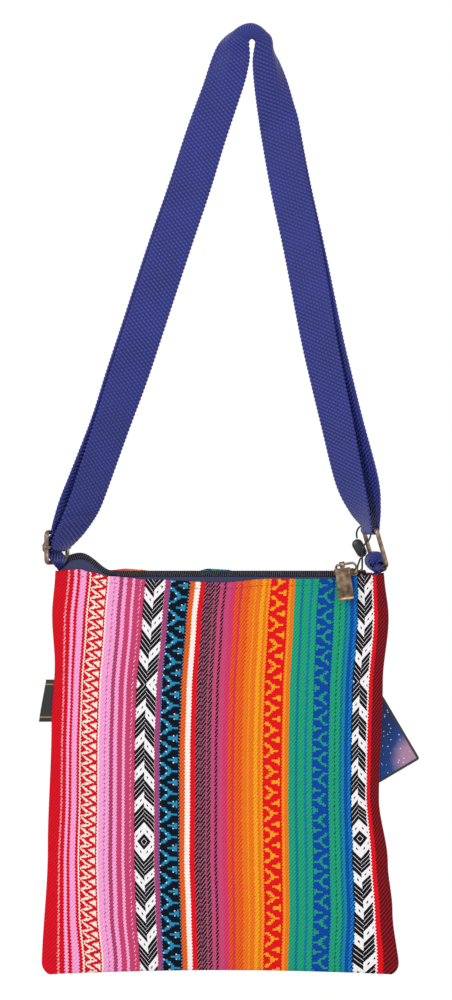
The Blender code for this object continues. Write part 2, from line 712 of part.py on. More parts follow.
def shoulder(table, inset):
    result = []
    for x, y, z, fold, start in table:
        across = Vector((math.copysign(0.97, x), 0, 0.24))
        centre = Vector((x, y, z)) * MM + Vector((0, inset, 0))
        result.append(station(centre, across, Vector((0, -1, 0)), math.radians(fold), start * MM, FOLD_RADIUS - inset))
    return result


def crest(inset):
    """Control sections over the hanging point, from the left leg to the right one."""
    radius = FOLD_RADIUS - inset
    top_start = CREST_FAN[3][2] * MM
    inner_ridge = FAN_RADIUS + top_start + FOLD_RADIUS - CREST_STEP
    pivot = Vector((FAN_X, -FOLD_RADIUS + inset, WEBBING / 2 - inner_ridge))
    result = []
    for lean, fold, start in CREST_FAN:
        spoke = Vector((math.sin(math.radians(lean)), 0, math.cos(math.radians(lean))))
        centre = pivot + spoke * (FAN_RADIUS + WEBBING_WIDTH / 2)
        result.append(station(centre, spoke, Vector((0, -1, 0)), math.radians(fold), start * MM, radius))
    return result


def slide_frame_axes():
    across, normal = ribbon_frame(SLIDE_TURN, Vector((-1, 0, 0)))
    return across, normal, Vector((0, 0, 1))


def ring_axes():
    across, normal = ribbon_frame(RING_TURN, Vector((1, 0, 0)))
    up = (Vector((0, 0, 1)) * math.cos(RING_TILT) + normal * math.sin(RING_TILT)).normalized()
    return across, normal, up


def slide_section(n, h):
    """Webbing across the buckle, n off its plane and h above its centre bar."""
    across, normal, up = slide_frame_axes()
    return station(SLIDE_CENTRE + normal * n + up * h, across, normal)


def round_bars(outer, inner):
    """The S from behind the upper bar to the front of the centre bar: two arcs and their tangent."""
    slant = math.asin((outer + inner) / SLIDE_HALF_HEIGHT)
    cosine = math.cos(slant)
    sine = math.sin(slant)
    return [(outer, SLIDE_HALF_HEIGHT), (outer * cosine, SLIDE_HALF_HEIGHT - outer * sine),
            (-inner * cosine, inner * sine)]


def slide_route():
    """The webbing through the buckle, from the corner up: behind the lower bar, over the centre
    bar and the sewn loop, behind the upper bar."""
    behind = SLIDE_WIRE + GAP + WEBBING / 2
    before = SLIDE_BAR_RADIUS + GAP + WEBBING / 2 + LOOSE_STEP
    upper = round_bars(behind, before)
    path = [(n, -h) for n, h in upper] + [(-before, 0.0)] + upper[::-1]
    path.append((behind + 0.8 * MM, SLIDE_HALF_HEIGHT + 3 * MM))
    return [slide_section(n, h) for n, h in path]


def sewn_loop_route():
    """The strap's end: down behind, round the centre bar, and up again to be sewn to itself."""
    around = SLIDE_BAR_RADIUS + GAP + WEBBING / 2
    behind = SLIDE_WIRE + GAP + WEBBING / 2 + LOOSE_STEP
    path = [(behind + LOOSE_STEP + 0.4 * MM, SLIDE_HALF_HEIGHT + 1 * MM), (4.2 * MM, 4.0 * MM)]
    for degrees in (0, -45, -90, -135, -180):
        angle = math.radians(degrees)
        path.append((around * math.cos(angle), around * math.sin(angle)))
    path += reversed(round_bars(behind, around))
    return [slide_section(n, h) for n, h in path]


def ring_route():
    """Down the outer side, round the ring's upper bar, and up the inner side."""
    across, normal, up = ring_axes()
    bar = RING_CENTRE + up * RING_HALF_HEIGHT
    around = RING_WIRE + GAP + WEBBING / 2
    result = []
    for degrees in (180, 225, 270, 315, 360):
        angle = math.radians(degrees)
        centre = bar + normal * (around * math.cos(angle)) + Vector((0, 0, around * math.sin(angle)))
        result.append(station(centre, across, normal, width=GATHERED_WIDTH))
    beside = [station(bar + normal * side * around + Vector((0, 0, 3 * MM)), across, normal, width=GATHERED_WIDTH)
              for side in (-1.1, 1.1)]
    return [beside[0]] + result + [beside[1]]


def strap():
    """One length of webbing, doubled over the hanging point."""
    apart = Vector((0, LOOSE_STEP / 2, 0))
    inner = FOLD_RADIUS - CREST_STEP
    left_under = [station(c + apart, a, n, radius=inner) for c, a, n in leg(LEFT_UNDER, -1)]
    right_under = [station(c + apart, a, n, radius=inner) for c, a, n in leg(RIGHT_UNDER, 1)]
    left_over = [station(c - apart, a, n) for c, a, n in leg(LEFT_OVER, -1)]
    right_over = [station(c - apart, a, n) for c, a, n in leg(RIGHT_OVER, 1)]
    base_across, base_normal = ribbon_frame(BASE_TURN, Vector((-1, 0, 0)))
    base = [station(Vector((STRAP_BASE_X, 0.0, front_hem(STRAP_BASE_X) + rise)), base_across, base_normal, width=STRAP_BASE_WIDTH)
            for rise in (-SEWN_DEPTH, -0.3 * MM)]
    throat_across, throat_normal = ribbon_frame(0.88 * SLIDE_TURN, Vector((-1, 0, 0)))
    throat = SLIDE_CENTRE + throat_normal * 2.7 * MM - Vector((0, 0, SLIDE_HALF_HEIGHT + 1.9 * MM))
    base.append(station(throat, throat_across, throat_normal, width=0.56 * WEBBING_WIDTH))
    end_across, end_normal = ribbon_frame(0.8 * SLIDE_TURN, Vector((-1, 0, 0)))
    sewn_end = station(SEWN_END, end_across, end_normal)

    stretches = (
        (base, 2),
        (slide_route(), 2),
        (left_under[::-1], 2),
        (shoulder(LEFT_SHOULDER, CREST_STEP), 1),
        (crest(CREST_STEP), 2),
        (shoulder(RIGHT_SHOULDER, CREST_STEP), 1),
        (right_under, 1),
        (ring_route(), 2),
        (right_over[::-1], 1),
        (shoulder(RIGHT_SHOULDER, 0.0)[::-1], 1),
        (crest(0.0)[::-1], 2),
        (shoulder(LEFT_SHOULDER, 0.0)[::-1], 1),
        (left_over, 2),
        (sewn_loop_route(), 2),
        ([sewn_end], 2),
    )
    sections = [section for group, _ in stretches for section in group]
    steps = [count for group, count in stretches for _ in group]
    return webbing("strap", sections, steps[:-1])


def ring_tab():
    """A loop of webbing round the ring's lower bar, both plies gathered into the corner."""
    across, normal, up = ring_axes()
    bar = RING_CENTRE - up * RING_HALF_HEIGHT

    def gathered(side, apart, rise, width):
        centre = Vector((TAB_X, 0.0, BAG_TOP + rise)) + normal * side * apart
        return station(centre, across, normal, width=width)

    ply = WEBBING / 2 + GAP / 2
    ends = [(ply, -SEWN_DEPTH, TAB_BASE_WIDTH), (ply, -0.4 * MM, TAB_BASE_WIDTH), (1.3 * MM, 1.2 * MM, TAB_BASE_WIDTH)]
    half_loop = [(3.3, -2.0, 0.6), (4.0, 0.6, 1.0), (3.6, 3.2, 1.0), (2.2, 5.3, 1.0)]
    loop = [(-n, h, share) for n, h, share in half_loop] + [(0.0, 6.1, 1.0)] + half_loop[::-1]
    sections = [gathered(-1, *end) for end in ends]
    sections += [station(bar + normal * n * MM + Vector((0, 0, h * MM)), across, normal, width=share * TAB_WIDTH)
                 for n, h, share in loop]
    sections += [gathered(1, *end) for end in reversed(ends)]
    return webbing("ring_tab", sections, 1)


# Metal fittings

def rounded_rectangle(half_width, half_height, radius, per_corner):
    points = []
    for corner, (sx, sy) in enumerate(((1, 1), (-1, 1), (-1, -1), (1, -1))):
        for k in range(per_corner + 1):
            angle = math.radians(90 * corner + 90 * k / per_corner)
            points.append((sx * (half_width - radius) + radius * math.cos(angle),
                           sy * (half_height - radius) + radius * math.sin(angle)))
    return points


def slide_frame():
    across, _, up = slide_frame_axes()
    outline = rounded_rectangle(SLIDE_HALF_WIDTH, SLIDE_HALF_HEIGHT, SLIDE_CORNER, 3)
    points = [SLIDE_CENTRE + across * x + up * y for x, y in outline]
    return wire("slide_frame", points, SLIDE_WIRE, brass(), cyclic=True)


def slide_bar():
    """The centre bar, with a collar pressed round each side bar."""
    across, _, up = slide_frame_axes()
    frame = placed(SLIDE_CENTRE, across, up, across.cross(up))
    turn = Matrix.Rotation(math.radians(90), 4, "Y")
    body = add_object("slide_bar", rod_mesh("bar", SLIDE_BAR_RADIUS, 2 * SLIDE_HALF_WIDTH, turn, 12), brass())
    body.matrix_world = frame
    lay = Matrix.Rotation(math.radians(90), 4, "X")
    for side, word in ((-1, "near"), (1, "far")):
        place = Matrix.Translation((side * SLIDE_HALF_WIDTH, 0, 0)) @ lay
        collar = add_cutter(word + "_collar", rod_mesh("collar", COLLAR_RADIUS, COLLAR_HEIGHT, place, 16))
        soften(collar, 0.5 * MM, 1)
        hole = add_cutter(word + "_hole", rod_mesh("hole", SLIDE_WIRE + GAP, 4 * COLLAR_HEIGHT, place, 12))
        collar.matrix_world = frame
        hole.matrix_world = frame
        boolean(body, collar, "UNION")
        boolean(body, hole, "DIFFERENCE")
    return body


def strap_ring():
    across, _, up = ring_axes()
    outline = rounded_rectangle(RING_HALF_WIDTH, RING_HALF_HEIGHT, RING_CORNER, 3)
    points = [RING_CENTRE + across * x + up * y for x, y in outline]
    return wire("strap_ring", points, RING_WIRE, brass(), cyclic=True)


# Label, card, cord and seal

def side_label():
    """A folded strip that stands out of the left side seam."""
    rows = []
    for k in range(5):
        share = k / 4
        z = LABEL_TOP - LABEL_HEIGHT * share
        left, _ = side_edges((BAG_TOP - z) / BAG_HEIGHT)
        proud = LABEL_PROUD_TOP + (LABEL_PROUD_BOTTOM - LABEL_PROUD_TOP) * share
        seam = left - GAP
        lift = 0.8 * MM * math.sin(math.pi * share)
        rows.append([Vector((seam - proud, -lift, z)), Vector((seam - proud / 2, -lift / 2, z)),
                     Vector((seam, 0.0, z))])
    return sheet("side_label", rows, LABEL_THICK, material("label_black"))


def card_frame():
    """The card's own axes; its hole is near the upper right corner."""
    up = Vector((-math.sin(CARD_TILT), 0, math.cos(CARD_TILT)))
    across = Vector((math.cos(CARD_TILT), 0, math.sin(CARD_TILT)))
    corner = CARD_CORNER.copy()
    corner.y = CARD_Y
    hole = corner + up * (CARD_HEIGHT - HOLE_INSET) - across * HOLE_INSET
    return corner, across, up, hole


def swing_tag():
    corner, across, up, hole = card_frame()
    middle = corner - across * CARD_WIDTH / 2 + up * CARD_HEIGHT / 2
    frame = placed(middle, across, up, across.cross(up))
    outline = rounded_rectangle(CARD_WIDTH / 2, CARD_HEIGHT / 2, CARD_ROUNDING, 2)
    curve = bpy.data.curves.new("swing_tag", "CURVE")
    curve.dimensions = "2D"
    curve.fill_mode = "BOTH"
    curve.extrude = CARD_THICK / 2
    local_hole = frame.inverted() @ hole
    round_hole = [(local_hole.x + HOLE_RADIUS * math.cos(math.tau * k / 16),
                   local_hole.y + HOLE_RADIUS * math.sin(math.tau * k / 16)) for k in range(16)]
    for points in (outline, round_hole):
        line = curve.splines.new("POLY")
        line.points.add(len(points) - 1)
        for slot, (x, y) in zip(line.points, points):
            slot.co = (x, y, 0.0, 1.0)
        line.use_cyclic_u = True
    card = add_object("swing_tag", curve, material("card_face", roughness=0.3))
    card.matrix_world = frame
    return as_mesh(card)


def tag_cord():
    points = smooth_curve([RING_CENTRE + Vector(point) * MM for point in CORD_ROUTE], 2)
    return wire("tag_cord", points, CORD_WIRE, material("seal_black"))


def tag_seal():
    """A moulded clip of two round lobes."""
    shapes = []
    for number, (place, radius) in enumerate(SEAL_LOBES):
        where = Matrix.Translation(RING_CENTRE + Vector(place) * MM) @ Matrix.Rotation(math.radians(90), 4, "X")
        mesh = rod_mesh("lobe", radius * MM, SEAL_THICK, where, 16)
        if number:
            piece = add_cutter("seal_lobe", mesh)
        else:
            piece = add_object("tag_seal", mesh, material("seal_black", roughness=0.5))
        soften(piece, 1.0 * MM, 1)
        shapes.append(piece)
    boolean(shapes[0], shapes[1], "UNION")
    return shapes[0]


clear_scene()
BAG = new_collection("crossbody_bag")
CUTTERS = new_collection("cutters")

panel("front_panel", front_hem, -1, 0.0)
panel("back_panel", back_hem, 1, BACK_CLOTH_SHIFT)
lining("lining_front", front_hem, -1)
lining("lining_back", front_hem, 1)
tape("zip_tape_front", -1, front_hem)
tape("zip_tape_back", 1, back_hem)
coil("zip_coil_front", -1)
coil("zip_coil_back", 1)
stop("zip_bottom_stop", HUMP_X + HUMP_RIGHT, 0.0, CHAIN_WIDTH)
for stop_name, stop_side in (("zip_top_stop_front", -1), ("zip_top_stop_back", 1)):
    stop_x = SLIDER_X + SLIDER_LENGTH / 2 + GAP + STOP_LENGTH
    stop(stop_name, stop_x, stop_side * (CHAIN_WIDTH / 4 + FORK_OPEN), CHAIN_WIDTH / 2 - GAP)
slider()
pull()
strap()
ring_tab()
slide_frame()
slide_bar()
strap_ring()
side_label()
swing_tag()
tag_cord()
tag_seal()
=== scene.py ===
# %% [markdown]
# # A striped crossbody bag
# The bag hangs by its doubled strap. The solids come in as a fixed frame, in metres, with the
# origin at the hanging point, +Z up and the front facing -Y. Cast and moulded parts and the card
# keep the shape of their solids and get a finish. Cloth, webbing, tapes, coils, cord and wires are
# built again here as what they are.

import math

import bmesh
import bpy
import numpy as np
from mathutils import Matrix, Vector


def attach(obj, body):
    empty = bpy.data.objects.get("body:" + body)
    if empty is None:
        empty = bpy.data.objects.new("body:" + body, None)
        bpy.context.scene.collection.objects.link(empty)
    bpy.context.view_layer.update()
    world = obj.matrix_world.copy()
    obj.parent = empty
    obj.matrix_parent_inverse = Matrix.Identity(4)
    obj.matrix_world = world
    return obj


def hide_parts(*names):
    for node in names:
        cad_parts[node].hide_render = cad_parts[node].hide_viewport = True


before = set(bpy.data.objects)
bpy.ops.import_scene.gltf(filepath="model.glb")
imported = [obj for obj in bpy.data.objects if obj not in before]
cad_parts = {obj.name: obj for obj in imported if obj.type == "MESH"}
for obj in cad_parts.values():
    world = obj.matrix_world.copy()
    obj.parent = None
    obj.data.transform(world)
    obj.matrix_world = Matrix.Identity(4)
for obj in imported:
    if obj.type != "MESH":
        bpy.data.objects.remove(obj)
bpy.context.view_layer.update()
MM = 0.001


# %% [markdown]
# ## Colours and values
# A colour is written as a plain sRGB hex value, as a dyer's card would give it. Light is counted
# in linear values, so one function converts. A Value is a wire in a node tree: arithmetic and
# comparisons on it add math nodes, so each pattern below reads like the formula that it is.

# %% Colour and node helpers
def linear(code):
    channels = [int(code[i:i + 2], 16) / 255 for i in (1, 3, 5)]
    return (*[c / 12.92 if c <= 0.04045 else ((c + 0.055) / 1.055) ** 2.4 for c in channels], 1.0)


def connect(tree, value, slot):
    """Link a Value, node or socket to a slot, or set the slot to a plain number or colour."""
    if isinstance(value, Value):
        value = value.source
    if isinstance(value, bpy.types.Node):
        value = next(s for s in value.outputs if s.enabled)
    if isinstance(value, bpy.types.NodeSocket):
        tree.links.new(value, slot)
    else:
        slot.default_value = value


def add(tree, kind, inputs=(), **settings):
    """Add one node; inputs is a list in socket order, or a dict from socket to value or link."""
    node = tree.nodes.new(kind)
    for name, value in settings.items():
        setattr(node, name, value)
    pairs = inputs.items() if isinstance(inputs, dict) else enumerate(inputs)
    for slot, value in pairs:
        connect(tree, value, node.inputs[slot])
    return node


class Value:
    """A wire in a node tree. A comparison gives 1 for true, & multiplies, | takes the greater."""

    def __init__(self, tree, source):
        self.tree = tree
        self.source = source

    def math(self, operation, *others, **settings):
        inputs = (self, *others)
        return Value(self.tree, add(self.tree, "ShaderNodeMath", inputs, operation=operation, **settings))

    def mapped(self, low, high, to_low=0.0, to_high=1.0):
        return Value(self.tree, add(self.tree, "ShaderNodeMapRange", (self, low, high, to_low, to_high)))

    def scaled(self, factor, offset):
        return self.math("MULTIPLY_ADD", factor, offset)

    def fract(self):
        return self.math("FRACT")

    def sine(self, rate=1.0):
        return (self if rate == 1.0 else self * rate).math("SINE")

    def __add__(self, other):
        return self.math("ADD", other)

    def __sub__(self, other):
        return self.math("SUBTRACT", other)

    def __rsub__(self, other):
        return Value(self.tree, add(self.tree, "ShaderNodeMath", (other, self), operation="SUBTRACT"))

    def __mul__(self, other):
        return self.math("MULTIPLY", other)

    __and__ = __mul__

    def __or__(self, other):
        return self.math("MAXIMUM", other)

    def __gt__(self, other):
        return self.math("GREATER_THAN", other)

    def __lt__(self, other):
        return self.math("LESS_THAN", other)

    def __abs__(self):
        return self.math("ABSOLUTE")


def mixed(factor, low, high, **settings):
    """Two colours mixed; each is a Value or a hex code."""
    tree = next(v.tree for v in (factor, low, high) if isinstance(v, Value))
    first, second = [linear(c) if isinstance(c, str) else c for c in (low, high)]
    inputs = {0: factor, 6: first, 7: second}
    return Value(tree, add(tree, "ShaderNodeMix", inputs, data_type="RGBA", **settings))


def ramped(value, stops, interpolation="LINEAR"):
    """A value turned into a colour by a ramp of (place, colour) pairs."""
    node = add(value.tree, "ShaderNodeValToRGB", [value])
    band = node.color_ramp
    band.interpolation = interpolation
    while len(band.elements) > 1:
        band.elements.remove(band.elements[-1])
    band.elements[0].position = stops[0][0]
    band.elements[0].color = linear(stops[0][1])
    for place, code in stops[1:]:
        band.elements.new(place).color = linear(code)
    return Value(value.tree, node)


def object_place(tree):
    return add(tree, "ShaderNodeTexCoord").outputs["Object"]


def noise(tree, scale, detail, **more):
    inputs = {"Vector": object_place(tree), "Scale": scale, "Detail": detail, **more}
    return Value(tree, add(tree, "ShaderNodeTexNoise", inputs))


def reach_along(tree, direction):
    """How far each point lies along a direction, in metres."""
    inputs = {0: object_place(tree), 1: tuple(direction)}
    return Value(tree, add(tree, "ShaderNodeVectorMath", inputs, operation="DOT_PRODUCT").outputs["Value"])


def flat_coordinates(tree):
    """The piece's own coordinates across and along its cloth, in metres."""
    parts = add(tree, "ShaderNodeSeparateXYZ", [add(tree, "ShaderNodeUVMap", uv_map="flat")])
    return Value(tree, parts.outputs[0]), Value(tree, parts.outputs[1])


def finish_material(name, roughness, metallic=0.0, **sockets):
    """A new material with its tree and shader; constants go straight on the shader's sockets."""
    made = bpy.data.materials.new(name)
    made.use_nodes = True
    shader = made.node_tree.nodes["Principled BSDF"]
    shader.inputs["Roughness"].default_value = roughness
    shader.inputs["Metallic"].default_value = metallic
    for key, value in sockets.items():
        shader.inputs[key.replace("_", " ")].default_value = value
    return made, made.node_tree, shader


def dress(tree, shader, colour, height, strength, distance):
    """Give a shader its colour and, where strength isn't 0, the relief of its surface."""
    connect(tree, colour, shader.inputs["Base Color"])
    if strength:
        relief = add(tree, "ShaderNodeBump", {"Strength": strength, "Distance": distance, "Height": height})
        connect(tree, relief, shader.inputs["Normal"])


def grained_material(name, roughness, scale, detail, stops, strength=0.0, distance=0.0):
    """A plain finish whose colour and relief follow one fine noise."""
    made, tree, shader = finish_material(name, roughness)
    grain = noise(tree, scale, detail)
    dress(tree, shader, ramped(grain, stops), grain, strength, distance)
    return made


# %% [markdown]
# ## Camera
# The photograph was taken from straight in front with a long lens, so upright edges stay upright.
# One pixel of it is 0.64 mm on the bag, which gives the height that the camera has to see.

# %% Camera
PIXEL = 0.64 * MM
IMAGE = (452, 1000)
HANG_PIXEL = (251.0, 28.6)
CAMERA_AWAY = 2.6
LONG_SIDE = 36.0


def photo_point(column, row):
    """The point of the hanging plane that one pixel of the photograph shows."""
    return (column - HANG_PIXEL[0]) * PIXEL, (HANG_PIXEL[1] - row) * PIXEL


def make_camera():
    x, z = photo_point(IMAGE[0] / 2, IMAGE[1] / 2)
    lens = bpy.data.cameras.new("camera")
    lens.sensor_width = LONG_SIDE
    lens.lens = LONG_SIDE * CAMERA_AWAY / (IMAGE[1] * PIXEL)
    camera = bpy.data.objects.new("camera", lens)
    camera.location = (x, -CAMERA_AWAY, z)
    camera.rotation_euler = (math.radians(90), 0, 0)
    bpy.context.scene.collection.objects.link(camera)
    bpy.context.scene.camera = camera
    return camera


camera = make_camera()
print("camera lens", round(camera.data.lens, 1), "mm")


# %% [markdown]
# ## Shared mesh helpers
# Cloth is a grid of points that carries its own flat coordinates in metres, so a pattern or a
# weave follows the surface whatever its shape. Round wire and cord are tubes with coordinates too.

# %% Curves, grids and tubes
def smooth_curve(points, steps):
    """Catmull-Rom through rows of numbers; steps says how many spans each stretch gets."""
    rows = [np.array(p, dtype=float) for p in points]
    ends = [2 * rows[0] - rows[1]] + rows + [2 * rows[-1] - rows[-2]]
    result = []
    for i in range(1, len(ends) - 2):
        before, start, end, after = ends[i - 1:i + 3]
        count = steps[i - 1] if isinstance(steps, (list, tuple)) else steps
        for k in range(count):
            t = k / count
            result.append(0.5 * (2 * start + (end - before) * t
                                 + (2 * before - 5 * start + 4 * end - after) * t * t
                                 + (3 * start - before - 3 * end + after) * t ** 3))
    result.append(rows[-1])
    return result


def along(table, where, unit=1.0):
    """A smooth value between the points of a small table."""
    places = [row[0] for row in table]
    index = max(0, min(len(places) - 2, int(np.searchsorted(places, where, side="right")) - 1))
    span = places[index + 1] - places[index]
    share = min(1.0, max(0.0, (where - places[index]) / span))
    share = share * share * (3 - 2 * share)
    low = table[index][1]
    high = table[index + 1][1]
    return (low + (high - low) * share) * unit


def new_object(name, mesh, material):
    piece = bpy.data.objects.new(name, mesh)
    bpy.context.scene.collection.objects.link(piece)
    if material:
        mesh.materials.append(material)
    return piece


def mesh_from(name, points, faces, coordinates, material):
    """A mesh whose corners take their flat coordinates from the list for the points."""
    mesh = bpy.data.meshes.new(name)
    mesh.from_pydata([tuple(p) for p in points], [], faces)
    layer = mesh.uv_layers.new(name="flat")
    for loop in mesh.loops:
        layer.data[loop.index].uv = coordinates[loop.vertex_index]
    mesh.polygons.foreach_set("use_smooth", [True] * len(mesh.polygons))
    mesh.update()
    return new_object(name, mesh, material)


def grid_normals(points):
    """Unit normals of a grid of points, shaped rows by columns by 3."""
    along_rows = np.gradient(points, axis=0)
    along_columns = np.gradient(points, axis=1)
    normals = np.cross(along_columns, along_rows)
    lengths = np.linalg.norm(normals, axis=2, keepdims=True)
    return normals / np.maximum(lengths, 1e-12)


def cloth_shell(name, points, coordinates, half, material):
    """A closed cloth: the grid moved out by half its thickness to both sides, edges joined."""
    rows, columns = points.shape[:2]
    normals = grid_normals(points)
    half = np.broadcast_to(np.asarray(half, dtype=float), (rows, columns))[..., None]
    front = (points + normals * half).reshape(-1, 3)
    back = (points - normals * half).reshape(-1, 3)
    count = rows * columns
    faces = []
    for r in range(rows - 1):
        for c in range(columns - 1):
            a = r * columns + c
            faces.append((a, a + 1, a + columns + 1, a + columns))
            faces.append((count + a, count + a + columns, count + a + columns + 1, count + a + 1))
    ring = [c for c in range(columns)] + [r * columns + columns - 1 for r in range(1, rows)]
    ring += [(rows - 1) * columns + c for c in range(columns - 2, -1, -1)]
    ring += [r * columns for r in range(rows - 2, 0, -1)]
    for a, b in zip(ring, ring[1:] + ring[:1]):
        faces.append((b, a, count + a, count + b))
    flat = [tuple(c) for c in coordinates.reshape(-1, 2)]
    return mesh_from(name, np.vstack((front, back)), faces, flat + flat, material)


def tube(name, path, radius, material, sides=12, closed=False):
    """A round wire along a path, with coordinates around and along it in metres."""
    path = [Vector(p) for p in path]
    count = len(path)
    tangents = []
    for i in range(count):
        before = path[i - 1] if i or closed else path[0]
        after = path[(i + 1) % count] if i + 1 < count or closed else path[-1]
        tangents.append((after - before).normalized())
    side = tangents[0].orthogonal().normalized()
    points = []
    flat = []
    run = 0.0
    for i, (centre, tangent) in enumerate(zip(path, tangents)):
        side = (side - tangent * side.dot(tangent)).normalized()
        up = tangent.cross(side)
        run += (centre - path[i - 1]).length if i else 0.0
        for k in range(sides):
            angle = math.tau * k / sides
            points.append(centre + (side * math.cos(angle) + up * math.sin(angle)) * radius)
            flat.append((k / sides * math.tau * radius, run))
    faces = []
    for i in range(count if closed else count - 1):
        following = (i + 1) % count
        for k in range(sides):
            turn = (k + 1) % sides
            faces.append((i * sides + k, i * sides + turn, following * sides + turn, following * sides + k))
    if not closed:
        faces.append(tuple(range(sides - 1, -1, -1)))
        faces.append(tuple((count - 1) * sides + k for k in range(sides)))
    return mesh_from(name, points, faces, flat, material)


def path_length(points):
    return sum((Vector(b) - Vector(a)).length for a, b in zip(points, points[1:]))


# %% [markdown]
# ## Fittings' places
# The sizes below are those of the solids, so every soft piece meets the metal that carries it.

# %% Sizes shared with the solids
GAP = 0.3 * MM
CLOTH = 1.2 * MM
LINING = 0.5 * MM
TAPE = 0.5 * MM
WEBBING = 1.3 * MM
WEBBING_WIDTH = 25.0 * MM
LEFTWARD = Vector((-1, 0, 0))
RIGHTWARD = Vector((1, 0, 0))
FORWARD = Vector((0, -1, 0))
BACKWARD = Vector((0, 1, 0))
UPWARD = Vector((0, 0, 1))

BAG_LEFT = -125.4 * MM
BAG_WIDTH = 210.5 * MM
BAG_RIGHT = BAG_LEFT + BAG_WIDTH
BAG_TOP = -348.8 * MM
BAG_HEIGHT = 256.6 * MM
MOUTH_HALF_DEPTH = 5.6 * MM
BELLY_HALF_DEPTH = 8.2 * MM
SEAM_HALF_DEPTH = 1.2 * MM

SLIDE_CENTRE = Vector((BAG_LEFT + 1.2 * MM, 0.0, BAG_TOP + 16.9 * MM))
SLIDE_TURN = math.radians(-67.0)
SLIDE_WIRE = 1.45 * MM
SLIDE_BAR_RADIUS = 1.3 * MM
SLIDE_HALF_WIDTH = WEBBING_WIDTH / 2 + 3.0 * MM
SLIDE_HALF_HEIGHT = 9.7 * MM
SLIDE_CORNER = 2.8 * MM
RING_CENTRE = Vector((BAG_RIGHT - 5.7 * MM, 0.0, BAG_TOP + 16.6 * MM))
RING_TURN = math.radians(-75.0)
RING_TILT = math.radians(16.7)
RING_WIRE = 1.4 * MM
RING_HALF_WIDTH = WEBBING_WIDTH / 2 + 1.9 * MM
RING_HALF_HEIGHT = 11.8 * MM
RING_CORNER = 2.4 * MM
print("bag", round(BAG_WIDTH / MM), "mm wide at its mouth")


# %% [markdown]
# ## The card's cord
# A thin waxed cord holds the swing card. It leaves the plastic seal, goes round the ring's far
# bar, hangs down behind the bag through the card's hole and comes back up into the seal. It is
# made before anything else, because a cord's length and place are facts that the rest respects.

# %% Black waxed cotton: two plies twisted, a faint sheen along the turns
CORD_DIAMETER = 1.2 * MM
CORD_PLY_TURN = 1.6 * MM
CORD_ROUTE = (
    (-11.0, 18.0, 5.8), (-11.2, 18.0, 9.6), (-9.6, 18.6, 12.8), (-6.4, 19.0, 13.9),
    (-3.2, 18.4, 12.0), (-2.2, 16.2, 8.6), (-3.0, 13.2, 5.8), (-4.4, 11.2, 3.9),
    (-7.0, 10.8, 1.0), (-7.8, 11.8, -2.6), (-7.8, 11.8, -9.3), (-8.2, 10.2, -16.4),
    (-9.9, 10.8, -28.0), (-13.2, 12.6, -44.6), (-16.6, 13.4, -58.2), (-18.4, 13.2, -65.9),
    (-19.1, 11.1, -68.7), (-19.8, 9.4, -66.1), (-19.2, 9.2, -58.5), (-16.6, 9.1, -44.8),
    (-13.4, 8.9, -30.3), (-11.5, 9.4, -17.4), (-10.8, 11.6, -12.4), (-9.8, 15.4, -9.6),
    (-8.6, 17.8, -6.8),
)


def waxed_cord_material():
    made, tree, shader = finish_material("waxed_cotton_cord", 0.55)
    around, onward = flat_coordinates(tree)
    turns = around * (math.tau / (math.pi * CORD_DIAMETER)) + onward * (math.tau / CORD_PLY_TURN)
    twist = turns.sine()
    # The ramp follows the twist: painted sheen on the plies' crowns and painted shade in the grooves between
    # them.
    shade = ramped(twist.mapped(-1.0, 1.0), [(0.0, "#0E0E10"), (0.6, "#1E1D21"), (1.0, "#34333A")])
    dress(tree, shader, shade, twist, 0.6, 0.15 * MM)
    return made


WAXED_CORD = waxed_cord_material()
route = [RING_CENTRE + Vector(point) * MM for point in CORD_ROUTE]
cord_path = [Vector(p) for p in smooth_curve(route, 6)]
card_cord = tube("card_cord", cord_path, CORD_DIAMETER / 2, WAXED_CORD, sides=8)
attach(card_cord, "bag")
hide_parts("tag_cord")
print("cord", round(path_length(cord_path) / MM), "mm long")


# %% [markdown]
# ## Woven striped cloth
# The cloth is a heavy cotton twill with coloured warp stripes and a few patterned bands. A photo
# print would repeat its lighting; here every stripe is one step of a colour ramp over the cloth's
# own width, and each patterned band is drawn with a little arithmetic on the weave's grid.

# %% The warp: stripe widths in mm, the ground colour and the colour of the second yarn
RED, DEEP_RED, ROSE, PINK, PALE_PINK = "#E01022", "#BE0C1E", "#F9B4C0", "#F598D2", "#FAB6E0"
CREAM, MAUVE, DARK_MAUVE, PLUM, VIOLET = "#FBF0E6", "#C24A74", "#8E2F56", "#A23F74", "#4E55A6"
MAGENTA, CRIMSON, BLACK, WHITE = "#D04A80", "#D6305A", "#120E14", "#FAF8FA"
NAVY, SKY, ORANGE, FLAME, AMBER, GOLD = "#0A1420", "#1E93C6", "#EC6C1E", "#DE3E22", "#F0861C", "#F8AE20"
GREEN, LEAF, TEAL, SEA, BLUE, ROYAL, MAROON = (
    "#1A9870", "#2CAC80", "#0F7288", "#1583A6", "#0E55AE", "#0C46A2", "#5A0F18")
BRIGHT_RED, DIM_ROSE, BRICK = "#E8131C", "#B46C7E", "#A41A24"
